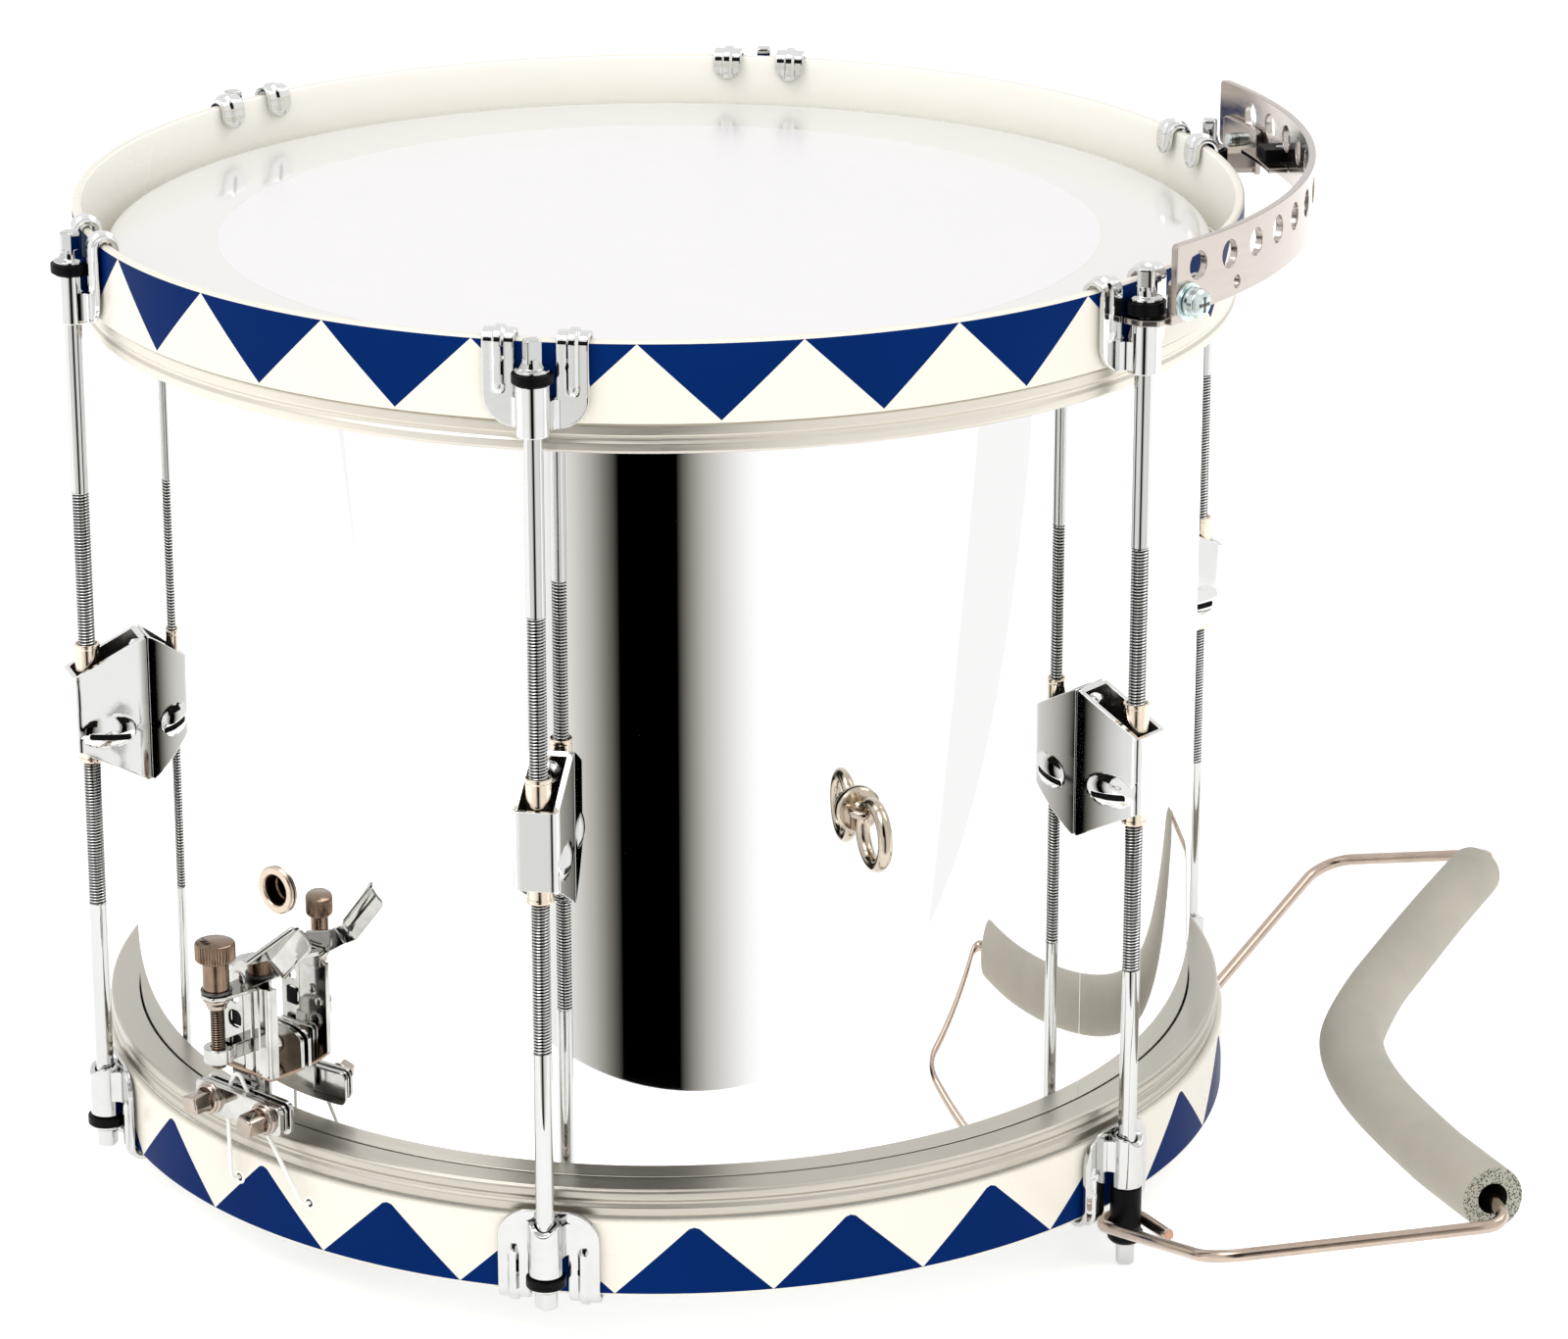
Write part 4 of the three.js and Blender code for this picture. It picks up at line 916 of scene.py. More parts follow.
def build_lugs():
    wall = 1.8
    half, ro, ri = 7.2 - wall / 2, 200.4 - wall / 2, 176.28
    sec = u_section(half, ro, ri, 1.3)
    f, acc = path_map(sec)
    total = acc[-1]
    L1 = ro - ri - 1.3 * 0.215
    ZT0, ZT1, ZB0, ZB1 = -116.4, -127.6, -165.2, -152.8
    outline = [(0, ZB0), (L1, ZB1), (total - L1, ZB1), (total, ZB0), (total, ZT0), (total - L1, ZT1), (L1, ZT1), (0, ZT0)]
    outline = fillet2(outline, [0.6, 0.4, 0.4, 0.6, 0.6, 0.4, 0.4, 0.6], 3)
    zs = -148.4                       # middle of the slots in both side walls

    def slot_loop(c, d):
        k = 0.8 * d
        return fillet2([(c - 6.8, zs - 1.05 - k), (c + 6.8, zs - 1.05 + k), (c + 6.8, zs + 0.95 + k), (c - 6.8, zs + 0.95 - k)], 0.7, 4)
    cs = L1 - (ro - 189.4)
    loops = [outline, slot_loop(cs, 1), slot_loop(total - cs, -1)]
    bm = plate(loops, wall, 0.18, 2)
    corner = [L1 - 0.2 + 2.6 * k / 6 for k in range(7)]
    slice_bm(bm, 0, corner + [total - c for c in corner])
    xs = steps(cs - 8.6, cs + 9.4, 0.7)
    slice_bm(bm, 0, xs + [total - x for x in xs])
    slice_bm(bm, 1, steps(-152.2, -138.8, 0.55))

    def dome(s, z):
        """Pressed louvre: a low oval blister with the slot across its lower third."""
        best = 0.0
        for c in (cs, total - cs):
            u = (s - c - (0.5 if c == cs else -0.5)) / 8.7
            v = (z + 146.6) / 5.1
            q = 1 - u * u - v * v
            if q > 0:
                best = 1.6 * q ** 0.85
        return best

    def mp(co):
        p, n = f(co.x)
        q = p + n * (co.z + dome(co.x, co.y))
        return (q.x, -q.y, co.y)
    bm.faces.ensure_lookup_table()
    inner = [all(v.co.z < -wall / 2 + 0.02 for v in fc.verts) for fc in bm.faces]
    part = bm_data(bm, mp)
    # the back of the tube, cut along the same slopes
    kt, kb, th = (ZT0 - ZT1) / 24.12, (ZB1 - ZB0) / 24.12, 1.85
    back = side_plate([[(ri, ZB0 + 0.1), (ri + th, ZB0 + 0.1 + th * kb), (ri + th, ZT0 - 0.1 - th * kt), (ri, ZT0 - 0.1)]], -5.6, 5.6, 0.12)
    # black plugs in the two slots: painted shade of the dark inside
    slot_shade = []
    for sg in (-1, 1):
        ol = [(sg * 5.5, 183.0), (sg * 7.35, 183.0), (sg * 7.95, 186.4), (sg * 8.3, 189.6), (sg * 7.95, 192.6), (sg * 7.35, 195.8), (sg * 5.5, 195.8)]
        v, fc = flat_plate([ol], zs - 0.95, zs + 0.85, 0.05)
        slot_shade.append(([(x, y, z + 0.8 * (-y - 189.4) / 6.8) for x, y, z in v], fc))
    slot_shade = join(*slot_shade)
    # fixing screw seen through the open top and bottom
    scr = lathe(fillet2([(0, 0), (3.5, 0), (3.3, 1.2), (2.0, 2.2), (0, 2.5)], [0, 0.3, 0.5, 0.8, 0], 4, closed=False), 32)
    # sleeve nut with a small collar at both ends
    nb = 3.2
    nut = [(nb, -158.2), (4.05, -158.2), (4.15, -157.8), (4.15, -157.0), (3.95, -156.6), (3.95, -120.1), (4.15, -119.7), (4.15, -118.9), (4.05, -118.5), (nb, -118.5)]
    nut = shift(lathe(fillet2(nut, [0.2, 0.2, 0.2, 0.1, 0.2, 0.2, 0.1, 0.2, 0.2, 0.2], 3), 48), 0, -ROD_R, 0)
    for i, a in enumerate(ST):
        k = i + 1
        # inside faces of the sleeve take the near-black metal: painted shade
        piece("lug_sleeve_%d" % k, part, None, az=a, node="lug_casing_%d" % k, slot="lug_chrome", sharp=32, mats=[M_LUG, M_LUG_INSIDE_SHADE], face_mat=lambda j: 1 if inner[j] else 0)
        # black plugs in the slots: painted shade
        piece("lug_slots_%d" % k, slot_shade, M_BLACK, az=a, slot="lug_chrome")
        piece("lug_back_%d" % k, back, M_LUG, az=a, slot="lug_chrome", sharp=32)
        piece("lug_nut_turned_%d" % k, nut, M_NUT, az=a, node="lug_nut_%d" % k, slot="nut_bronze")
        for z in (-122.5, -159.0):
            piece("lug_screw_%d_%d" % (k, int(-z)), radial(scr, ri + 1.8, z), M_CHROME, az=a)


# ------------------------------------------------------------------ tension rods
def thread(z0, z1, r_out, r_in, pitch=1.0, sides=28, per=8):
    """Screw thread from z0 up to z1, fading out at both ends; open at the ends. Returns crests and roots apart, so the
    roots can take a dark painted shade.
    """
    n = int((z1 - z0) / pitch * per)
    verts, crest, root = [], [], []
    wave = lambda z, k: 1 - abs(2 * ((z / pitch - k / sides) % 1.0) - 1)
    for i in range(n + 1):
        z = z0 + (z1 - z0) * i / n
        fade = min(1.0, (z - z0) / pitch, (z1 - z) / pitch)
        for k in range(sides):
            a = 2 * PI * k / sides
            tri = min(1.0, max(0.0, wave(z, k) * 1.3 - 0.1))
            r = r_out - (r_out - r_in) * (1 - tri) * max(0.0, fade)
            verts.append((r * math.sin(a), -r * math.cos(a), z))
    for i in range(n):
        zm = z0 + (z1 - z0) * (i + 0.5) / n
        for k in range(sides):
            q = (k + 1) % sides
            f = (i * sides + k, i * sides + q, (i + 1) * sides + q, (i + 1) * sides + k)
            (root if wave(zm, k + 0.5) < 0.5 else crest).append(f)
    return (verts, crest), (verts, root)


def square_head(half, z0, z1, r_bottom, yaw, soft=8):
    """Square drive head with softened corners and a slightly domed end."""
    rows = []
    n = 32
    h = abs(z1 - z0)
    prof = [(0.0, 1.0), (0.90, 1.0), (0.955, 0.86), (0.985, 0.55), (1.0, 0.0)]
    verts, faces = [], []
    for t, s in ((0.0, 1.0), (0.86, 1.0), (0.93, 0.97), (0.975, 0.9), (1.0, 0.78)):
        z = z0 + (z1 - z0) * t
        for k in range(n):
            a = 2 * PI * k / n
            c, d = math.cos(a), math.sin(a)
            m = (abs(c) ** soft + abs(d) ** soft) ** (-1.0 / soft)
            r = half * m * s
            b = a + rnd(yaw)
            verts.append((r * math.cos(b), r * math.sin(b), z))
    for i in range(4):
        for k in range(n):
            q = (k + 1) % n
            faces.append((i * n + k, i * n + q, (i + 1) * n + q, (i + 1) * n + k))
    faces.append(tuple(range(n)))
    faces.append(tuple(4 * n + k for k in range(n)))
    return verts, faces


def build_rods():
    y = -ROD_R
    S = lambda p: shift(p, 0, y, 0)
    for i, a in enumerate(ST):
        k = i + 1
        held = i in (1, 2)
        zw, wh = (5.6, 4.4) if held else (3.1, 3.4)
        body = "top_rod_%d_body" % k
        t0 = -134.3
        shaft = lathe([(0, t0), (2.3, t0), (2.6, t0 + 0.6), (2.6, t0 + 1.0), (0, t0 + 1.0)], 28)
        th, groove = thread(t0 + 0.9, -68.0, 2.88, 2.36)
        up = lathe([(2.45, -68.6), (2.9, -68.0), (2.9, zw + 0.6), (2.2, zw + 0.6)], 36)
        b = zw + wh
        col = fillet2([(0, b + 0.02), (5.15, b + 0.02), (5.2, b + 0.9), (4.5, b + 1.2), (3.7, b + 1.5), (2.95, b + 3.2), (2.85, b + 4.4), (0, b + 4.4)],
                      [0, 0.15, 0.35, 0.3, 0.6, 1.2, 0.2, 0], 4, closed=False)
        head = square_head(2.45, b + 2.2, b + 10.0, 3.4, HEAD_YAW[i])
        piece("top_rod_turned_%d" % k, join(S(shaft), S(th), S(up), S(lathe(col, 48)), S(head)), M_RODS, body=body, az=a, node="top_rod_%d" % k, slot="rod_chrome", weld=False)
        # thread roots in near-black: painted shade in the grooves
        piece("top_thread_root_%d" % k, S(groove), M_THREAD_ROOT_SHADE, body=body, az=a, slot="rod_chrome")
        wsh = fillet2([(3.05, zw + 0.32), (6.25, zw + 0.32), (6.25, b), (3.05, b)], [0.2, 0.35, 0.35, 0.2], 3)
        piece("top_washer_%d" % k, S(lathe(wsh, 48)), M_BLACK, body=body, az=a, slot="rod_chrome")
        # lower rod
        body = "bottom_rod_%d_body" % k
        lw = -281.2
        t1 = -142.3
        tip = lathe([(0, t1), (2.3, t1), (2.6, t1 - 0.6), (2.6, t1 - 1.0), (0, t1 - 1.0)], 28)
        th, groove = thread(-207.5, t1 - 0.9, 2.88, 2.36)
        # thread roots in near-black: painted shade in the grooves
        piece("low_thread_root_%d" % k, S(groove), M_THREAD_ROOT_SHADE, body=body, az=a, slot="rod_chrome")
        if not held:
            end = lw - 3.4
            low = lathe([(2.2, end + 1), (2.9, end + 1), (2.9, -207.5), (2.45, -206.9)], 36)
            wsh = fillet2([(3.05, lw - 0.3), (6.2, lw - 0.3), (6.2, end), (3.05, end)], [0.2, 0.35, 0.35, 0.2], 3)
            cap = fillet2([(0, end - 0.02), (5.1, end - 0.02), (5.15, end - 0.8), (3.9, end - 1.3), (3.3, end - 2.2), (0, end - 2.2)], [0, 0.15, 0.3, 0.3, 0.2, 0], 3, closed=False)
            head = square_head(3.0, end - 1.0, end - 7.8, 3.4, HEAD_YAW[i] + 17, 4)
            piece("low_rod_turned_%d" % k, join(S(tip), S(th), S(low), S(lathe(cap, 48)), S(head)), M_RODS, body=body, az=a, node="bottom_rod_%d" % k, slot="rod_chrome", weld=False)
            piece("low_washer_%d" % k, S(lathe(wsh, 48)), M_BLACK, body=body, az=a, slot="rod_chrome")
        else:
            s0 = lw - 0.3
            w0 = lw - 15.9
            s1 = w0 + 0.02
            w1 = w0 - 3.4
            low = lathe([(2.2, w1), (2.9, w1), (2.9, -207.5), (2.45, -206.9)], 36)
            sp = fillet2([(3.05, s0), (5.0, s0), (5.0, s1 - 0.0), (3.05, s1 - 0.0)], [0.2, 0.3, 0.3, 0.2], 3)
            ws = fillet2([(3.05, w0), (5.68, w0), (5.68, w1 + 1.2), (4.6, w1), (3.05, w1)], [0.2, 0.3, 1.0, 0.5, 0.2], 4)
            head = square_head(2.9, w1 - 0.2, w1 - 7.5, 3.4, HEAD_YAW[i] + 17, 4)
            cap = fillet2([(0, w1 - 0.02), (3.6, w1 - 0.02), (3.5, w1 - 1.2), (0, w1 - 1.2)], [0, 0.2, 0.3, 0], 3, closed=False)
            piece("low_rod_turned_%d" % k, join(S(tip), S(th), S(low), S(lathe(cap, 40)), S(head)), M_RODS, body=body, az=a, node="bottom_rod_%d" % k, slot="rod_chrome", weld=False)
            piece("knee_spacer_%d" % k, S(lathe(sp, 48)), M_BLACK, body=body, az=a, slot="rod_chrome")
            piece("knee_washer_%d" % k, S(lathe(ws, 48)), M_BLACK, body=body, az=a, slot="rod_chrome")


# ------------------------------------------------------------------ claws
def claw_part(z_rim, d, tip, tube_a, tube_b, notch):
    """One bent and pressed sheet: flat skirt, two ribbed fingers hooked over the rim, a rolled socket."""
    th = 1.6
    r0 = HOOP_R + 0.35
    rc = r0 + 0.95                        # middle of the sheet on the outside
    ri = 182.75                           # middle of the inner leg
    R = (rc - ri) / 2
    cz = 14.25 if d > 0 else 14.25
    # path in (height above the rim datum, radius); heights are measured towards the hook
    rim = z_rim
    h_top = 2.6 - th / 2 - 0.05           # middle of the sheet at the crown, above the rim edge
    ch = h_top - R
    path = [(rc, -tip)]
    path.append((rc, ch - 1.2))
    for k in range(13):
        t = k / 12 * PI
        path.append((rc - R + R * math.cos(t), ch + R * math.sin(t)))
    path += [(ri - 0.25, ch - 2.2), (ri - 0.55, ch - 4.4), (ri - 0.5, ch - 6.3)]
    f, acc = path_map(path)
    L = acc[-1]
    w, s = 16.0, 6.2
    slot0 = tip - 2.6 + 0.0
    sl = -(-2.2 - (z_rim if d > 0 else z_rim)) if False else None
    slot_s = tip - (17.4 if d > 0 else 17.4)     # where the gap between the fingers begins
    slot_s = max(6.0, tip - 17.3)
    out = [(-w, L), (-w, 0.0), (w, 0.0), (w, L), (s, L), (s, slot_s), (-s, slot_s), (-s, L)]
    out = fillet2(out, [4.7, 9.8, 9.8, 4.7, 4.7, 1.2, 1.2, 4.7], 12)
    bm = plate([out], th, 0.32, 2)
    fc = (w + s) / 2
    ribs = [-(fc - 0.0), fc]
    xs = []
    for c in ribs:
        xs += [c + q for q in (-2.6, -2.2, -1.8, -1.4, -1.0, -0.6, 0.0, 0.6, 1.0, 1.4, 1.8, 2.2, 2.6)]
    slice_bm(bm, 0, xs + [-w + 0.9, w - 0.9, -s - 0.9, s + 0.9])
    s_bend = acc[1]
    slice_bm(bm, 1, steps(tip - 19.0, s_bend, 1.2) + steps(s_bend, L - 0.4, 0.55))

    r_low = tip - 16.2                    # lower end of the pressed ribs

    def rib(x, sv):
        best = 0.0
        for c in ribs:
            u = abs(x - c)
            e = 0.0
            if sv < r_low + 1.8:
                e = r_low + 1.8 - sv
            dist = math.hypot(u, e)
            k = (1.9 - dist) / 0.95
            best = max(best, max(0.0, min(1.0, k)))
        k = best * best * (3 - 2 * best)
        end = max(0.0, min(1.0, (L - 0.6 - sv) / 1.6))
        return 0.85 * k * (0.35 + 0.65 * end)

    def mp(co):
        p, n = f(co.y)
        edge = 0.0
        off = -co.z - rib(co.x, co.y)
        q = Vector((p.x, p.y)) + Vector((n.x, n.y)) * off
        return (co.x, -q.x, z_rim + d * q.y)
    sheet = bm_data(bm, mp)
    # rolled socket with swept shoulders into the skirt
    za, zb = min(tube_a, tube_b), max(tube_a, tube_b)
    N = 48
    hole = 3.35
    tube = lathe(fillet2([(hole, za), (5.15, za), (5.15, zb), (hole, zb)], [0.25, 0.5, 0.5, 0.25], 3), N)
    if notch:
        # the upper end of the lower socket is scooped at the front
        v2 = []
        for (x, yy, z) in tube[0]:
            if z > zb - 1.2:
                fr = max(0.0, -yy / 5.15)
                q = abs(x) / 5.15
                z -= 2.6 * fr * (1 - q * q) - 0.5 * math.exp(-((q - 0.75) / 0.25) ** 2) * fr
            v2.append((x, yy, z))
        tube = (v2, tube[1])
    tube = shift(tube, 0, -ROD_R, 0)
    sh = [(-8.3, r0 + 1.62), (-7.2, r0 + 1.78), (-6.2, r0 + 2.3), (-5.5, r0 + 3.3), (-5.12, ROD_R - 0.6), (-3.6, ROD_R - 0.8), (-3.6, r0 + 1.0), (3.6, r0 + 1.0), (3.6, ROD_R - 0.8), (5.12, ROD_R - 0.6),
          (5.5, r0 + 3.3), (6.2, r0 + 2.3), (7.2, r0 + 1.78), (8.3, r0 + 1.62), (8.3, r0 + 0.9), (-8.3, r0 + 0.9)]
    hz = abs(zb - za)
    lo, hi = (za + 1.2, zb - 5.5) if d > 0 else (za + 5.5, zb - 1.2)
    bm = plate([[(t, -r) for t, r in sh]], hi - lo, 0.15, 1)
    web = bm_data(bm, lambda c: (c.x, c.y, (lo + hi) / 2 + c.z))
    return join(sheet, tube, web)


def build_claws():
    top = claw_part(15.0, 1, 26.5, -12.6, 3.1, False)
    low = claw_part(-290.2, -1, 28.4, -281.2, -264.0, True)
    for i, a in enumerate(ST):
        k = i + 1
        piece("claw_top_pressed_%d" % k, top, M_PRESSED, az=a, node="top_claw_%d" % k, slot="claw_chrome", sharp=42)
        # the lower claws take the darker copy of the chrome: painted shade
        piece("claw_low_pressed_%d" % k, low, M_PRESSED_SHADE, az=a, node="bottom_claw_%d" % k, slot="claw_chrome", sharp=42)


# ------------------------------------------------------------------ strap ring
def torus_points(R, n, plane="xz"):
    out = []
    for k in range(n):
        a = 2 * PI * k / n
        if plane == "xy":
            out.append(Vector((R * math.cos(a), R * math.sin(a), 0)))
        else:
            out.append(Vector((0, R * math.cos(a), R * math.sin(a))))
    return out


def build_ring():
    base = fillet2([(0, 0), (7.2, 0), (7.2, 0.75), (6.5, 1.5), (5.2, 1.62), (0, 1.62)], [0, 0.15, 0.4, 0.5, 0.4, 0], 4, closed=False)
    disc = radial(lathe(base, 64), SHELL_R + 0.5, RING_Z)
    eye = sweep(torus_points(3.8, 56, "xy"), 1.25, 20, closed=True)
    eye = shift(eye, 0, -182.0, RING_Z + 1.2)
    foot = radial(lathe(fillet2([(0, 0), (2.5, 0), (1.9, 0.9), (1.5, 1.4), (0, 1.4)], [0, 0.2, 0.6, 0.3, 0], 4, closed=False), 32), SHELL_R + 1.9, RING_Z + 1.0)
    piece("ring_post_turned", join(disc, eye, foot), M_NICKEL, az=RING_A, node="ring_post", slot="ring_nickel", weld=False)
    cr = 182.0 + 9.3 * math.cos(rnd(31))
    cz = RING_Z + 1.2 - 9.3 * math.sin(rnd(31))
    ring = sweep(torus_points(9.3, 96, "yz"), 2.2, 24, closed=True)
    piece("strap_ring_wire", shift(ring, 0, -cr, cz), M_NICKEL, body="strap_ring_body", az=RING_A, node="strap_ring", slot="ring_nickel")


# ------------------------------------------------------------------ carrying rail
def rail_xyz(A, r, z):
    return (RCX + r * math.sin(rnd(A)), RCY - r * math.cos(rnd(A)), z)


def on_rail(part, A, z):
    """A turned part made along +Z with z = 0 on the outside of the rail."""
    p = radial(part, RR, 0.0)
    m = Matrix.Translation((RCX, RCY, z)) @ Matrix.Rotation(rnd(A), 4, "Z")
    return moved(p, m)


def circle(cx, cy, r, n=28):
    return [(cx + r * math.cos(2 * PI * k / n), cy + r * math.sin(2 * PI * k / n)) for k in range(n)]


def screw_parts(reach, cross=True):
    """Pan-head screw with spring washer and flat washer; returns the zinc parts and a dark cross on the head, painted
    shade for the cross recess.
    """
    flat = lathe(fillet2([(2.6, 0.05), (6.0, 0.05), (6.0, 1.25), (2.6, 1.25)], [0.1, 0.25, 0.25, 0.1], 2), 40)
    spring = []
    n = 44
    for k in range(n):
        a = rnd(8 + 344 * k / (n - 1))
        spring.append(Vector((3.75 * math.cos(a), 3.75 * math.sin(a), 2.0 + 0.5 * k / n)))
    spr = sweep(spring, 0.95, 8)
    z0 = 3.0
    head = lathe(fillet2([(0, z0), (4.6, z0), (4.6, z0 + 2.2), (3.6, z0 + 3.2), (1.9, z0 + 3.7), (0, z0 + 3.8)], [0, 0.2, 0.8, 0.8, 0.5, 0], 4, closed=False), 40)
    stem = lathe([(0, -reach - 0.2), (2.0, -reach - 0.2), (2.35, -reach + 0.5), (2.35, z0 + 0.2), (0, z0 + 0.2)], 24)
    # dark cross standing on the head: painted shade of the cross recess
    rec = join(box(-2.4, 2.4, -0.55, 0.55, z0 + 2.6, z0 + 3.86, bev=0.1, seg=1), box(-0.55, 0.55, -2.4, 2.4, z0 + 2.6, z0 + 3.86, bev=0.1, seg=1))
    return join(flat, spr, head, stem), rec


def build_rail():
    span = rnd(RAIL_A1 - RAIL_A0) * RR
    z0, z1 = RAIL_Z0, RAIL_Z1
    outline = fillet2([(0, z0), (span, z0), (span, z1), (0, z1)], [1.0, 3.0, 2.0, 1.4], 5)
    loops = [outline]
    u = lambda A: rnd(A - RAIL_A0) * RR
    for k in range(13):
        loops.append(circle(u(48.5 + 5.08 * k), 20.9, 4.3, 40))
    for A in (55.0, 106.0):
        loops.append(circle(u(A), 11.1, 2.0, 24))
    bm = plate(loops, RT, 0.3, 2)
    slice_bm(bm, 0, steps(0.5, span - 0.5, 2.2))

    def mp(c):
        A = RAIL_A0 + math.degrees(c.x / RR)
        return rail_xyz(A, RR - RT / 2 + c.z, c.y)
    piece("rail_strip", bm_data(bm, mp), M_RAIL, node="carry_rail", slot="rail_nickel", sharp=35)
    for A, z, reach in ((46.9, 10.8, 5.2), (111.0, 12.0, 8.0), (101.0, 15.2, 4.0)):
        z_, rec = screw_parts(reach)
        piece("rail_screw_%d" % int(A), on_rail(z_, A, z), M_ZINC, slot="rail_nickel", weld=False)
        # dark cross on the screw head: painted shade of the recess
        piece("rail_screw_recess_%d" % int(A), on_rail(rec, A, z), M_DARK_METAL_AND_SHADE, slot="rail_nickel", weld=False)

    def arc_plate(A0, A1, ra, rb, za, zb, bev=0.3, top_r=1.5):
        L = rnd(A1 - A0) * rb
        ol = fillet2([(0, za), (L, za), (L, zb), (0, zb)], [0.3, 0.3, top_r, top_r], 4)
        b = plate([ol], rb - ra, bev, 2)
        slice_bm(b, 0, steps(0.4, L - 0.4, 2.0))
        return bm_data(b, lambda c: rail_xyz(A0 + math.degrees(c.x / rb), (ra + rb) / 2 + c.z, c.y))

    # black spacer block behind the third screw
    piece("rail_spacer", arc_plate(99.6, 102.5, 184.2, RR - RT - 0.05, 12.8, 17.2, 0.4, 0.6), M_BLACK, slot="rail_nickel")
    inner = RR - RT - 0.3

    def tongue(a, pts, za=3.3, zb=5.2):
        hole = circle(0.0, -ROD_R, 3.4, 28)
        b = plate([[(t, -r) for t, r in pts], hole], zb - za, 0.3, 2)
        return turn(bm_data(b, lambda c: (c.x, c.y, (za + zb) / 2 + c.z)), a)
    ft = fillet2([(-5.8, ROD_R - 4.9), (-5.8, ROD_R - 3.1), (-6.6, ROD_R - 3.1), (-6.6, ROD_R + 3.4), (-3.4, ROD_R + 7.6), (10.0, ROD_R + 8.9), (14.2, ROD_R + 9.3), (14.2, ROD_R + 4.0), (7.2, ROD_R - 3.1), (5.8, ROD_R - 3.1), (5.8, ROD_R - 4.9)],
                 [0.6, 0.2, 0.3, 1.5, 1.5, 0.6, 1.0, 1.5, 0.6, 0.2, 0.6], 3)
    piece("rail_bracket_front_bent", join(arc_plate(45.7, 50.2, inner - 1.9, inner, 3.3, 17.0), tongue(ST[1], ft)), M_RAIL, node="rail_bracket_front", slot="rail_nickel", weld=False)
    rt = fillet2([(-5.8, ROD_R - 4.9), (-5.8, ROD_R - 3.1), (-7.0, ROD_R - 3.1), (-12.0, ROD_R + 12.2), (-8, ROD_R + 12.9), (6.4, ROD_R + 12.3), (9.0, ROD_R + 10.4), (7.0, ROD_R - 3.1), (5.8, ROD_R - 3.1), (5.8, ROD_R - 4.9)],
                 [0.6, 0.2, 0.3, 1.0, 0.6, 0.6, 1.0, 0.6, 0.2, 0.6], 3)
    piece("rail_bracket_rear_bent", join(arc_plate(106.4, 114.0, inner - 1.9, inner, 3.3, 18.2), arc_plate(98.0, 107.0, 183.8, inner, 10.6, 12.2, 0.3, 0.4), tongue(ST[2], rt)), M_RAIL, node="rail_bracket_rear", slot="rail_nickel", weld=False)
    nut = lathe(fillet2([(0, 0), (3.2, 0), (3.0, 0.9), (0, 1.2)], [0, 0.3, 0.5, 0], 3, closed=False), 6)
    tip = moved(lathe(fillet2([(0, 0), (2.35, 0), (2.35, 1.9), (1.7, 2.5), (0, 2.5)], [0, 0, 0.3, 0.3, 0], 3, closed=False), 24), Matrix.Rotation(PI, 4, "X"))
    piece("rail_bolt_end", on_rail(shift(tip, 0, 0, -RT - 2.2), 111.0, 12.0), M_ZINC, slot="rail_nickel")


# ------------------------------------------------------------------ knee rest
def knee_paths():
    lw = -281.2
    zl = lw - 13.7
    p2, p3 = at(ST[1], ROD_R, 0, zl), at(ST[2], ROD_R, 0, zl)

    def loop(c, a0, a1, n, r=7.1):
        return [Vector((c.x + r * math.cos(rnd(a0 + (a1 - a0) * i / n)), c.y + r * math.sin(rnd(a0 + (a1 - a0) * i / n)), c.z)) for i in range(n + 1)]
    LB, LH, LF = Vector((164.5, -209.4, -269)), Vector((255.4, -208.6, -259)), Vector((252.6, -194.0, -257))
    UB, UH, UF = Vector((238.2, 130.5, -271)), Vector((294.6, 98.0, -256.5)), Vector((286.1, 82.3, -257))
    foam = [LF, (246.0, -172.0, -258.8), (239.9, -152.0, -260), (231.0, -109.3, -263.5), (227.2, -76.1, -266.5), (227.0, -50.5, -268), (230.3, -32.2, -268), (240.0, -6.4, -266), (251.2, 16.7, -264), (268.5, 50.0, -260.4), UF]
    mid = catmull(foam, 8)
    start = [p2 + Vector((12.9, -9.1, 0)), p2 + Vector((9.5, -2.8, 0))] + loop(p2, 28, 196, 26)
    end = loop(p3, -20, 150, 26)
    A = fillet3([start[-1], LB, LH, mid[0]], [14, 7], 10)
    B = fillet3([mid[-1], UH, UB, end[0]], [6, 14], 10)
    wire = start[:-1] + A[:-1] + mid + B[1:-1] + end
    return wire, mid


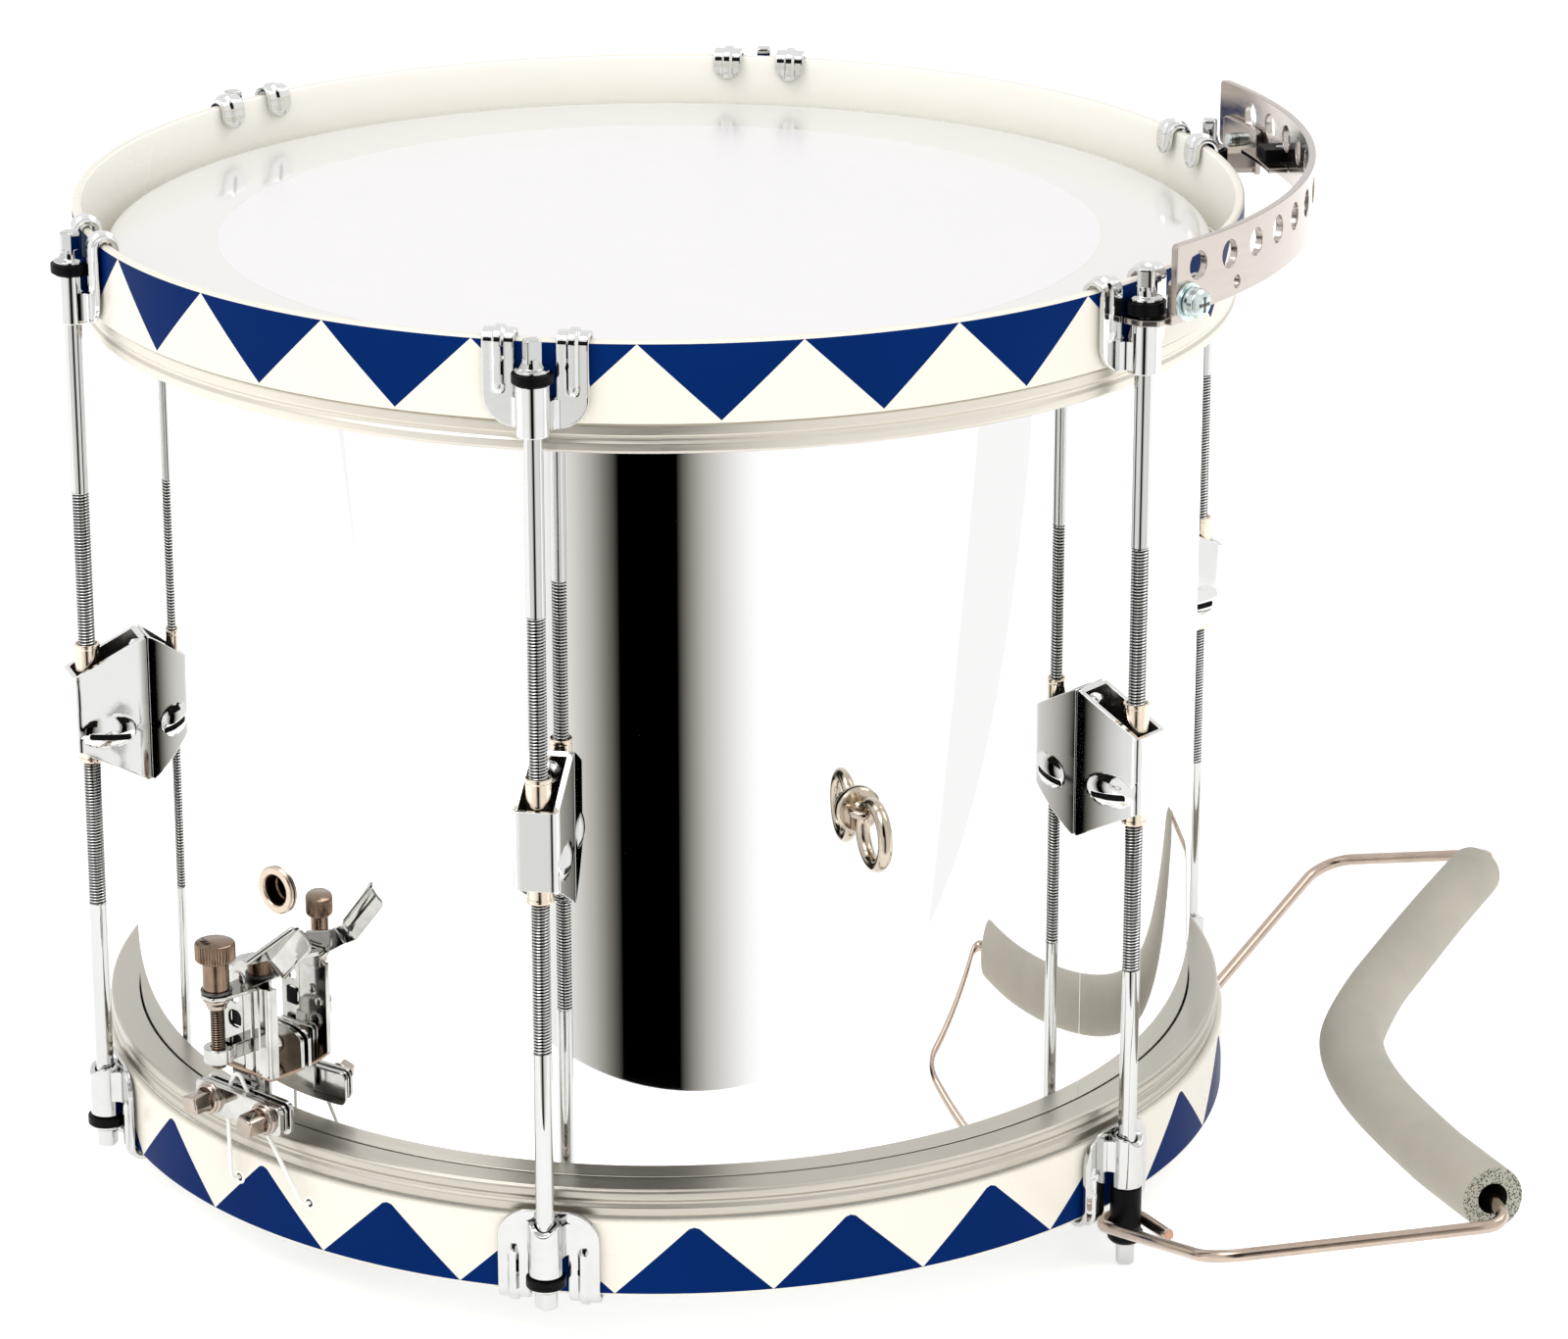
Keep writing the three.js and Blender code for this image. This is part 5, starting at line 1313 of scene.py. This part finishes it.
def build_knee_rest():
    wire, mid = knee_paths()
    w = resample(wire, 1.6)
    piece("knee_rest_wire_bent", sweep(w, 2.0, 20, round_ends=0.5), M_WIRE, node="knee_rest_wire", slot="wire_copper_nickel", sharp=50)
    d = (Vector(wire[0]) - Vector(wire[1])).normalized()
    q = Vector((0, 0, 1)).rotation_difference(d).to_matrix().to_4x4()
    cap = lathe(fillet2([(0, 0), (1.75, 0), (1.7, 0.2), (0, 0.22)], [0, 0.05, 0.1, 0], 2, closed=False), 28)
    piece("knee_rest_wire_cut_end", moved(cap, Matrix.Translation(Vector(wire[0]) + d * 0.42) @ q), M_COPPER, slot="wire_copper_nickel")
    m = resample([p for p in mid], 2.0)
    n = len(m)
    # skin: softly uneven, a little pinched at the cut ends
    tan, ups = frames(m)
    sides = 64

    def wob(i, a):
        p = m[i]
        q = 1 + 0.006 * noise.noise(Vector((p.x * 0.03, p.y * 0.03, a * 1.3)))
        e = min(i, n - 1 - i)
        if e == 0:
            q *= 0.985
        return q * (1 if e else 0.995)
    thick = [(0.0, 10.1), (0.25, 10.2), (0.5, 10.6), (0.72, 9.9), (1.0, 9.6)]

    def skin(i):
        u = i / (n - 1)
        for (a, ra), (b, rb) in zip(thick, thick[1:]):
            if u <= b:
                k = (u - a) / (b - a)
                k = k * k * (3 - 2 * k)
                return ra + (rb - ra) * k
        return thick[-1][1]
    outer = sweep(m, [skin(i) for i in range(n)], sides, caps=False, shape=wob)
    verts, faces = outer
    verts = list(verts)
    faces = list(faces)
    fm = [0] * len(faces)
    inner_r = 4.9
    # bore, near-black: painted shade inside the tube
    ov = len(verts)
    for i in range(n):
        side = tan[i].cross(ups[i])
        for k in range(sides):
            a = 2 * PI * k / sides
            verts.append(tuple(m[i] + ups[i] * (math.cos(a) * inner_r) + side * (math.sin(a) * inner_r)))
    for i in range(n - 1):
        for k in range(sides):
            q = (k + 1) % sides
            faces.append((ov + i * sides + k, ov + (i + 1) * sides + k, ov + (i + 1) * sides + q, ov + i * sides + q))
            fm.append(2)
    # cut ends: rings between bore and skin with small torn pits
    for end, sgn in ((0, -1), (n - 1, 1)):
        side = tan[end].cross(ups[end])
        rings = [[ov + end * sides + k for k in range(sides)]]
        R = 9
        for j in range(1, R):
            r = inner_r + (skin(end) * 0.985 - inner_r) * j / R
            row = []
            for k in range(sides):
                a = 2 * PI * k / sides
                u = noise.noise(Vector((r * 1.7 * math.cos(a), r * 1.7 * math.sin(a), 3.0 + end)))
                dpt = -0.28 * max(0.0, u) + 0.12 * noise.noise(Vector((r * 0.6 * math.cos(a), r * 0.6 * math.sin(a), 9.0)))
                row.append(len(verts))
                verts.append(tuple(m[end] + tan[end] * sgn * dpt + ups[end] * (math.cos(a) * r) + side * (math.sin(a) * r)))
            rings.append(row)
        rings.append([end * sides + k for k in range(sides)])
        for A, B in zip(rings, rings[1:]):
            for k in range(sides):
                q = (k + 1) % sides
                faces.append((A[k], A[q], B[q], B[k]))
                fm.append(1)
    ob = piece("knee_rest_foam_tube", (verts, faces), None, node="knee_rest_foam", slot="foam_grey", sharp=45, mats=[M_FOAM, M_FOAM_CUT, M_FOAM_BORE_SHADE], face_mat=lambda i: fm[i], weld=False)
    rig.padded(ob, fill=0.9)


# ------------------------------------------------------------------ snares, cords, strainer
def cord_path(a_mid, aL, aR, end_t, up, r_cl, z0, z1, apex, flip):
    base = SNARE_A + (180 if flip else 0)
    CZ, SZ = -274.2, -275.3
    pts = [at(base, 156.6, -end_t, SZ), at(aL, 186.5, 0, CZ), at(aL, 191.5, 0, CZ + 0.4), at(a_mid, r_cl, -up, z0), at(a_mid, r_cl, apex[0] - 3.4, z1), at(a_mid, r_cl, apex[0], apex[1]),
           at(a_mid, r_cl, apex[0] + 3.4, z1), at(a_mid, r_cl, up, z0), at(aR, 191.5, 0, CZ + 0.4), at(aR, 186.5, 0, CZ), at(base, 156.6, end_t, SZ)]
    return fillet3(pts, [8, 2.6, 5, 5, 2.4, 5, 5, 2.6, 8], 6)


def twisted(points, r=0.7, lobes=3, pitch=2.8, sides=18):
    pts = resample(points, 0.4)
    acc = [0.0]
    for a, b in zip(pts, pts[1:]):
        acc.append(acc[-1] + (b - a).length)
    return sweep(pts, r, sides, shape=lambda i, a: 0.86 + 0.14 * abs(math.cos(lobes / 2 * (a - 2 * PI * acc[i] / pitch))) ** 0.7, round_ends=0.5)


def build_snares():
    c1 = cord_path(STR_A, -45.9, -36.5, 13, 8.4, 191.5, -251.6, -240.2, (-3.2, -234.6), False)
    piece("cord_strainer_twisted", twisted(c1), M_CORD, node="snare_cord_strainer", slot="cord_white", sharp=180)
    c2 = cord_path(BUTT_A, BUTT_A - 3.1, BUTT_A + 3.1, 10.1, 8.4, 191.3, -244.6, -230.8, (0, -226.6), True)
    piece("cord_butt_twisted", twisted(c2), M_CORD, node="snare_cord_butt", slot="cord_white", sharp=180)
    top = SHELL_BOT - 0.35 - 0.4 - 0.35
    parts = []
    for sgn in (-1, 1):
        b = box_bm(-21, 21, sgn * 151 - 5, sgn * 151 + 5, top - 1.3, top, 0.3, 2)
        parts.append(bm_data(b))
    plates = join(*parts)
    coils = []
    for i in range(10):
        t = -18 + 4 * i
        n = 460
        verts, faces, sides = [], [], 8
        for q in range(n + 1):
            y = -150 + 300 * q / n
            r = 0.74 if q % 2 else 0.60
            for k in range(sides):
                a = 2 * PI * k / sides
                verts.append((t + r * math.cos(a), y, top - 1.15 + r * math.sin(a)))
        for q in range(n):
            for k in range(sides):
                w = (k + 1) % sides
                faces.append((q * sides + k, q * sides + w, (q + 1) * sides + w, (q + 1) * sides + k))
        faces.append(tuple(range(sides)))
        faces.append(tuple(n * sides + k for k in range(sides)))
        coils.append((verts, faces))
    piece("snare_end_plates", plates, M_BRONZE_AND_BORE_SHADE, az=SNARE_A, node="snare_wires", slot="snare_bronze")
    piece("snare_strands", join(*coils), M_RODS, az=SNARE_A, slot="snare_bronze", sharp=180, weld=False)


def rounded_rect(x0, x1, y0, y1, r, n=5):
    return fillet2([(x0, y0), (x1, y0), (x1, y1), (x0, y1)], r, n)


def facing(loops, r0, r1, bev=0.25):
    """Plate that faces outwards: outline of (t, z), between the radii r0 and r1."""
    b = plate(loops, r1 - r0, bev, 2)
    return bm_data(b, lambda c: (c.x, -((r0 + r1) / 2 - c.z), c.y))


def side_plate(loops, t0, t1, bev=0.25):
    """Plate that stands along the radius: outline of (r, z), between the tangents t0 and t1."""
    b = plate(loops, t1 - t0, bev, 2)
    return bm_data(b, lambda c: ((t0 + t1) / 2 + c.z, -c.x, c.y))


def flat_plate(loops, z0, z1, bev=0.25):
    """Level plate: outline of (t, r)."""
    b = plate([[(t, -r) for t, r in lp] for lp in loops], z1 - z0, bev, 2)
    return bm_data(b, lambda c: (c.x, c.y, (z0 + z1) / 2 + c.z))


def key_screw(t, r, z, half=3.0, length=9.3, yaw=8.0):
    fl = radial(lathe(fillet2([(0, 0), (5.3, 0), (5.35, 0.7), (5.05, 1.0), (4.75, 1.05), (4.7, 1.9), (4.4, 2.3), (3.9, 2.2), (3.5, 1.5), (2.8, 1.15), (0, 1.15)], [0, 0.15, 0.25, 0.1, 0.1, 0.25, 0.25, 0.2, 0.3, 0.3, 0], 3, closed=False), 56), r, z, t)
    hd = radial(square_head(half, 1.0, length, 0, yaw), r, z, t)
    st = radial(lathe([(0, 0), (1.8, 0), (1.8, 4), (0, 4)], 20), r - 4.2, z, t)
    return join(fl, hd, st)


def knurl(profile_rows, n=144, depth=0.35, count=48):
    """Turned head with straight knurling: rows of (r, z, share of the knurl depth)."""
    verts, faces = [], []
    for r, z, s in profile_rows:
        for k in range(n):
            a = 2 * PI * k / n
            c = 0.5 - 0.5 * math.cos(count * a)
            rr = r - depth * s * c
            verts.append((rr * math.sin(a), -rr * math.cos(a), z))
    m = len(profile_rows)
    for i in range(m - 1):
        for k in range(n):
            q = (k + 1) % n
            faces.append((i * n + k, i * n + q, (i + 1) * n + q, (i + 1) * n + k))
    faces.append(tuple(range(n)))
    faces.append(tuple((m - 1) * n + k for k in range(n)))
    return verts, faces


def ribbed_channel(z0, z1):
    """Guide of the slide: a drawn channel with two raised ribs, its section given as (t, r)."""
    sec = [(-0.7, 187.7), (-0.7, 190.3), (-0.3, 190.7), (2.5, 190.7), (2.9, 190.2), (3.0, 189.2), (3.9, 189.2), (4.1, 190.2), (4.6, 190.8), (6.4, 190.95), (6.8, 190.5), (7.2, 190.5),
           (7.5, 191.05), (9.8, 191.05), (10.2, 190.4), (10.7, 190.4), (11.0, 190.9), (11.7, 190.7), (11.9, 190.2), (11.9, 187.7)]
    return flat_plate([sec], z0, z1, 0.12)


def build_strainer():
    A = STR_A
    R = SHELL_R
    # bracket: round-topped plate on the shell, shelf, guide for the slide and top plate
    arch = [(-11.8, -234.9), (11.8, -234.9), (11.8, -225.6)]
    for k in range(1, 12):
        b = PI * k / 12
        arch.append((11.8 * math.cos(b), -226.4 + 4.6 * math.sin(b) ** 0.8))
    arch.append((-11.8, -225.6))
    wall = [facing([arch], R + 0.45, R + 2.05, 0.3)]
    shelf = fillet2([(-11.8, R + 0.6), (11.8, R + 0.6), (11.8, 191.0), (-11.8, 191.0)], [0.2, 0.2, 1.4, 1.4], 4)
    piece("strainer_base_shelf", flat_plate([shelf], -235.2, -233.9, 0.3), M_SHELF, az=A, slot="strainer_chrome", weld=False)
    wall.append(ribbed_channel(-234.4, -204.6))
    # left half of the guide with a round hole and a window
    left = [rounded_rect(-11.6, -1.6, -234.2, -204.4, 1.2), circle(-5.6, -211.4, 2.1, 32), rounded_rect(-8.4, -2.6, -221.6, -215.8, 2.2)]
    wall.append(facing(left, 188.6, 190.0, 0.25))
    top = fillet2([(-9.8, 183.2), (-8.4, 178.4), (4.6, 178.4), (9.4, 187.0), (9.9, 190.8), (-8.6, 190.8)], [1.6, 1.6, 2.2, 2.0, 0.8, 1.6], 5)
    wall.append(flat_plate([top, rounded_rect(-1.6, 6.6, 188.4, 189.9, 0.5)], -201.6, -200.3, 0.3))
    # neck between the top plate and the guide
    wall.append(facing([rounded_rect(-8.4, 9.6, -206.0, -200.6, 0.8)], 187.5, 188.6, 0.25))
    # yoke that carries the thumb screw
    yoke = fillet2([(-4.9, 203.0), (-2.6, 206.6), (2.6, 206.6), (4.9, 203.0), (6.2, 189.6), (-3.4, 189.6)], [2.0, 2.0, 2.0, 2.0, 0.5, 0.5], 5)
    hole = [(3.0 * math.sin(2 * PI * k / 28), 202.0 + 3.0 * math.cos(2 * PI * k / 28)) for k in range(28)]
    wall.append(radial(lathe(fillet2([(0, 0), (3.3, 0), (2.7, 1.5), (0, 2.0)], [0, 0.3, 0.6, 0], 4, closed=False), 36), R + 1.9, -229))
    wall.append(radial(lathe(fillet2([(0, 0), (1.7, 0), (1.7, 8.7), (1.2, 9.1), (0, 9.1)], [0, 0, 0.3, 0.3, 0], 3, closed=False), 28), 183.8, -203.2))
    for t, z in ((5.4, -213.5), (8.6, -217.5)):
        wall.append(radial(lathe(fillet2([(0, 0), (1.6, 0), (1.4, -0.9), (0, -1.1)], [0, 0.2, 0.3, 0], 3, closed=False), 24), 187.8, z, t))
    piece("strainer_base_plates", join(*wall), M_STRAINER, az=A, node="strainer_base", slot="strainer_chrome", weld=False)
    # black inserts in the slot of the top plate and the window of the guide: painted shade in the openings
    dark = [bm_data(box_bm(-1.4, 6.4, -189.8, -188.5, -201.3, -200.7, 0.05, 1)), bm_data(box_bm(-8.2, -2.8, -188.7, -187.9, -221.4, -216.0, 0.05, 1))]
    piece("strainer_dark_gaps", join(*dark), M_BLACK, az=A, slot="strainer_chrome", weld=False)
    # slide: inner plate, arm with the threaded ear, rear clamp plate
    s = [facing([rounded_rect(-10.4, 6.6, -247.6, -226.0, 1.2)], 186.0, 187.3)]
    s.append(bm_data(box_bm(-3.0, 3.0, -202.0, -187.2, -227.6, -222.6, 0.5, 2)))
    s.append(facing([rounded_rect(-0.6, 5.4, -247.4, -233.0, 0.5)], 187.2, 188.6, 0.3))
    s.append(shift(lathe(fillet2([(2.45, -227.6), (4.75, -227.6), (4.75, -222.6), (2.45, -222.6)], [0.2, 0.5, 0.5, 0.2], 3), 48), 0, -202.0, 0))
    s.append(facing([rounded_rect(-19, 19, -251.6, -240.4, 2.6)], 188.5, 190.2, 0.35))
    piece("strainer_slider_plates", join(*s), M_STRAINER, body="strainer_slide_body", az=A, node="strainer_slider", slot="strainer_chrome", weld=False)
    piece("strainer_yoke", flat_plate([yoke, hole], -206.1, -204.9, 0.3), M_STRAINER, az=A, slot="strainer_chrome", weld=False, body="strainer_slide_body")
    piece("strainer_clamp_front", facing([rounded_rect(-19.3, 19.3, -250.8, -240.8, 2.4)], 192.9, 195.1, 0.4), M_STRAINER, body="strainer_slide_body", az=A, node="strainer_clamp_bar", slot="strainer_chrome", weld=False)
    mid = join(facing([rounded_rect(-18.8, 18.8, -250.2, -241.1, 2.2)], 191.1, 192.1, 0.2))
    piece("strainer_clamp_middle", mid, M_STRAINER, body="strainer_slide_body", az=A, slot="strainer_chrome", weld=False)
    gaps = [facing([rounded_rect(-18.0, 18.0, -249.6, -241.9, 1.8)], r0, r1, 0.05) for r0, r1 in ((190.15, 191.15), (192.05, 192.95))]
    piece("strainer_clamp_joints", join(*gaps), M_BLACK, body="strainer_slide_body", az=A, slot="strainer_chrome", weld=False)
    piece("strainer_clamp_screws", join(key_screw(-12.4, 195.0, -245.8), key_screw(12.4, 195.0, -245.8, yaw=-14)), M_KEY, body="strainer_slide_body", az=A, slot="strainer_chrome", weld=False)
    # thumb screw
    kn = knurl([(0.01, -187.6, 0), (5.5, -187.65, 0), (6.1, -187.95, 0.1), (6.35, -188.5, 0.8), (6.35, -193.0, 1), (6.2, -193.5, 0.6), (5.6, -193.9, 0), (4.5, -194.1, 0), (4.15, -194.4, 0), (4.15, -203.4, 0), (0.01, -203.5, 0)], 252, 0.42, 42)
    kn = shift(kn, 0, -202.0, 0)
    piece("strainer_knob_knurled", kn, M_KNOB, body="strainer_knob_body", az=A, node="strainer_knob", slot="knob_bronze")
    lip = shift(lathe(fillet2([(0, -203.3), (4.95, -203.3), (5.0, -204.3), (0, -204.3)], [0, 0.25, 0.25, 0], 3, closed=False), 48), 0, -202.0, 0)
    piece("strainer_knob_lip", lip, M_DARK_METAL_AND_SHADE, body="strainer_knob_body", az=A, slot="knob_bronze")
    cup = shift(lathe(fillet2([(0, -206.2), (4.5, -206.2), (4.3, -207.2), (3.3, -208.4), (3.1, -209.6), (2.5, -210.2), (0, -210.2)], [0, 0.3, 0.5, 0.5, 0.3, 0.3, 0], 4, closed=False), 48), 0, -202.0, 0)
    piece("strainer_knob_cup", cup, M_KEY, body="strainer_knob_body", az=A, slot="knob_bronze")
    th, groove = thread(-229.4, -209.6, 2.3, 1.88, 0.8, 24, 8)
    # thread roots in near-black: painted shade in the grooves
    piece("strainer_knob_thread_root", shift(groove, 0, -202.0, 0), M_THREAD_ROOT_SHADE, body="strainer_knob_body", az=A, slot="knob_bronze")
    stem = join(th, lathe([(0, -229.8), (1.7, -229.8), (2.0, -229.3), (0, -229.3)], 24), lathe([(0, -203.6), (2.2, -203.6), (2.2, -206.6), (0, -206.6)], 24))
    piece("strainer_knob_stem", shift(stem, 0, -202.0, 0), M_KNOB, body="strainer_knob_body", az=A, slot="knob_bronze", weld=False)
    # lever: link from the pivot, stepped outwards to the thumb plate, with a tapering tab folded up along its upper edge
    c, sn = math.cos(rnd(47)), math.sin(rnd(47))
    L = lambda u, v: (u * c - v * sn, -203.2 + u * sn + v * c)
    arm = [(-4.6, -2.6), (-4.6, 3.0), (-2.0, 4.6), (5.0, 4.4), (14.5, -2.2), (20.0, -4.2), (38.6, -4.4), (39.3, -5.2), (39.3, -11.0), (38.0, -12.2), (20.6, -12.0), (17.0, -9.6), (2.0, -4.8), (-2.0, -4.6)]
    hole = circle(0.0, 0.0, 2.0, 28)
    b = plate([fillet2(arm, [1.2, 1.2, 1.5, 2.5, 3.0, 2.0, 0.5, 0.6, 1.2, 1.4, 1.5, 3.0, 2.5, 1.2], 5), hole], 1.3, 0.3, 2)
    slice_bm(b, 0, steps(16.0, 23.0, 0.7))
    slice_bm(b, 1, steps(-12.0, -4.6, 1.2))

    def stepped(co):
        k = max(0.0, min(1.0, (co.x - 17.0) / 4.0))
        k = k * k * (3 - 2 * k)
        bow = 0.7 * k * ((co.y + 8.2) / 3.8) ** 2 if co.x > 17 else 0.0
        r = 192.05 + 1.75 * k + bow
        t, z = L(co.x, co.y)
        return (t, -(r + co.z), z)
    plate_ = bm_data(b, stepped)
    tab = fillet2([(20.6, 193.4), (38.5, 193.4), (39.1, 196.2), (24.4, 207.6)], [0.6, 0.6, 1.0, 0.9], 4)
    b = plate([tab], 1.2, 0.3, 2)
    tabp = bm_data(b, lambda co: (L(co.x, -4.3 + co.z)[0], -co.y, L(co.x, -4.3 + co.z)[1]))
    edge = [Vector((L(u, -3.9)[0], -r, L(u, -3.9)[1])) for u, r in ((24.5, 207.1), (29.2, 203.5), (34.0, 199.8), (38.7, 196.2))]
    hem = sweep(resample(edge, 1.0), 0.95, 16, round_ends=0.7)
    pin = radial(lathe(fillet2([(0, 0), (3.0, 0), (2.6, 0.8), (0, 1.1)], [0, 0.2, 0.4, 0], 3, closed=False), 32), 192.5, -203.2)
    piece("strainer_lever_bent", join(plate_, tabp, hem, pin), M_STRAINER, body="strainer_lever_body", az=A, node="strainer_lever", slot="strainer_chrome", weld=False)
    # butt plate
    wl = [facing([rounded_rect(-13, 13, -243.4, -219, 4)], R + 0.5, R + 2.1), bm_data(box_bm(-7, 7, -188.8, -R - 1, -243, -232, 0.6, 2)),
          facing([rounded_rect(-19, 19, -243.6, -231.6, 2)], 188.0, 189.9), facing([rounded_rect(-19, 19, -243.6, -231.6, 2)], 192.7, 194.6),
          bm_data(box_bm(-19, -15.4, -194, -188.4, -242, -233, 0.3, 1)), bm_data(box_bm(15.4, 19, -194, -188.4, -242, -233, 0.3, 1)),
          key_screw(-12.4, 194.5, -237.6, 2.8, 6.9), key_screw(12.4, 194.5, -237.6, 2.8, 6.9, -12)]
    for t in (-9.2, 9.2):
        wl.append(radial(lathe(fillet2([(0, 0), (2.8, 0), (2.3, 1.4), (0, 1.8)], [0, 0.3, 0.6, 0], 4, closed=False), 28), R + 2.0, -223.0, t))
    piece("butt_plates", join(*wl), M_STRAINER, az=BUTT_A, node="snare_butt", slot="strainer_chrome", weld=False)


# ------------------------------------------------------------------ stage and light
def stage():
    sc = bpy.context.scene
    sc.view_settings.view_transform = "Standard"
    sc.view_settings.look = "None"
    w = bpy.data.worlds.new("World")
    sc.world = w
    w.use_nodes = True
    bg = w.node_tree.nodes["Background"]
    bg.inputs[0].default_value = (1.0, 1.0, 1.0, 1)
    bg.inputs[1].default_value = 1.0
    m, nt, p = material("floor_white")
    p.inputs["Base Color"].default_value = (0.95, 0.95, 0.945, 1)
    p.inputs["Roughness"].default_value = 0.9
    p.inputs["Specular IOR Level"].default_value = 0.1
    p.inputs["Emission Color"].default_value = (1.0, 1.0, 1.0, 1)
    p.inputs["Emission Strength"].default_value = 0.32
    s, z = 6.0, -0.3086
    # the floor, and the same level again for reflections only, where it ends in front like the edge of a table
    Y = lambda x: max(-0.60, min(-0.2, 0.11 * x - 0.3665))
    for nm, dz, pts in (("floor", 0.0, [(-s, -s), (s, -s), (s, s), (-s, s)]), ("table", 0.0003, [(-s, Y(-1.0)), (-1.0, Y(-1.0)), (1.0, Y(1.0)), (s, Y(1.0)), (s, s), (-s, s)])):
        me = bpy.data.meshes.new(nm)
        me.from_pydata([(x, y, z + dz) for x, y in pts], [], [tuple(range(len(pts)))])
        me.materials.append(m)
        fl = bpy.data.objects.new(nm, me)
        sc.collection.objects.link(fl)
        if nm == "floor":
            fl.visible_glossy = False
        else:
            fl.visible_camera = False
            fl.visible_diffuse = False
            fl.visible_shadow = False
        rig.stage(fl)


def area(name, loc, look, size, power, size_y=None, colour=(1, 1, 1)):
    l = bpy.data.lights.new(name, "AREA")
    l.energy = power
    l.shape = "RECTANGLE"
    l.size = size
    l.size_y = size_y or size
    l.color = colour
    o = bpy.data.objects.new(name, l)
    o.location = loc
    d = Vector(look) - Vector(loc)
    o.rotation_euler = d.to_track_quat("-Z", "Y").to_euler()
    bpy.context.scene.collection.objects.link(o)
    return o


def gloss_card(name, verts, faces, mat):
    """A card that only reflections see."""
    me = bpy.data.meshes.new(name)
    me.from_pydata(verts, [], faces)
    me.materials.append(mat)
    o = bpy.data.objects.new(name, me)
    bpy.context.scene.collection.objects.link(o)
    o.visible_camera = False
    o.visible_diffuse = False
    o.visible_shadow = False
    o.visible_transmission = False
    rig.stage(o)
    return o


def glow(name, stops, x0, x1):
    """Plain emission that changes along X: stops of (x, brightness)."""
    m = bpy.data.materials.new(name)
    m.use_nodes = True
    nt = m.node_tree
    for n in list(nt.nodes):
        nt.nodes.remove(n)
    out = nt.nodes.new("ShaderNodeOutputMaterial")
    em = nt.nodes.new("ShaderNodeEmission")
    nt.links.new(em.outputs[0], out.inputs[0])
    tc = nt.nodes.new("ShaderNodeTexCoord")
    sep = nt.nodes.new("ShaderNodeSeparateXYZ")
    nt.links.new(tc.outputs["Object"], sep.inputs[0])
    mr = nt.nodes.new("ShaderNodeMapRange")
    mr.inputs["From Min"].default_value = x0
    mr.inputs["From Max"].default_value = x1
    nt.links.new(sep.outputs["X"], mr.inputs["Value"])
    cols = []
    for x, v in stops:
        w = min(1.0, v) ** 1.5
        cols.append(((x - x0) / (x1 - x0), (v, v * (0.945 + 0.055 * w), v * (0.82 + 0.18 * w))))
    nt.links.new(ramp(nt, mr.outputs["Result"], cols), em.inputs["Color"])
    return m


GAP_STOPS = [(-1.537, 1.12), (-1.108, 1.07), (-0.921, 0.927), (-0.747, 0.785), (-0.583, 0.516), (-0.488, 0.324), (-0.41, 0.136), (-0.357, 0.0),
             (0.135, 0.0), (0.172, 0.147), (0.262, 0.395), (0.36, 0.587), (0.476, 0.746), (0.636, 0.98), (0.803, 1.12)]


def reflections():
    """What the mirror shell shows past the edge of the table: a dark gap with soft edges between two white walls."""
    D = 2.2
    stops = GAP_STOPS
    x0, x1 = -14.0, 14.0
    st = [(x0, 1.12)] + [(x, v) for x, v in stops] + [(x1, 1.12)]
    gloss_card("upper_gap", [(-1.35, -2.15, 0.15), (0.35, -2.15, 0.15), (0.35, -2.15, 1.5), (-1.35, -2.15, 1.5)], [(0, 1, 2, 3)], glow("upper_gap_m", [(-1.36, 0.01), (0.36, 0.01)], -1.36, 0.36))
    gloss_card("gap", [(x0, -D, -1.7), (x1, -D, -1.7), (x1, -D, 2.2), (x0, -D, 2.2)], [(0, 1, 2, 3)], glow("gap_m", st, x0, x1))


build_shell()
build_heads()
build_flesh_hoops()
build_hoops()
build_lugs()
build_rods()
build_claws()
build_ring()
build_rail()
build_knee_rest()
build_snares()
build_strainer()
stage()
reflections()
area("key", (-1.5, -1.2, 2.6), (0, 0, -0.1), 1.8, 30)
area("fill", (1.9, 0.4, 2.2), (0, 0, -0.1), 1.6, 12)
front = area("front", (0.3, -2.6, 0.75), (0, 0, -0.12), 1.5, 13)
front.visible_glossy = False

vis_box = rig.bounds()
with open("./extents.json", "w") as fh:
    json.dump({"cad": [list(v) for v in cad_box], "visual": [list(v) for v in vis_box]}, fh)
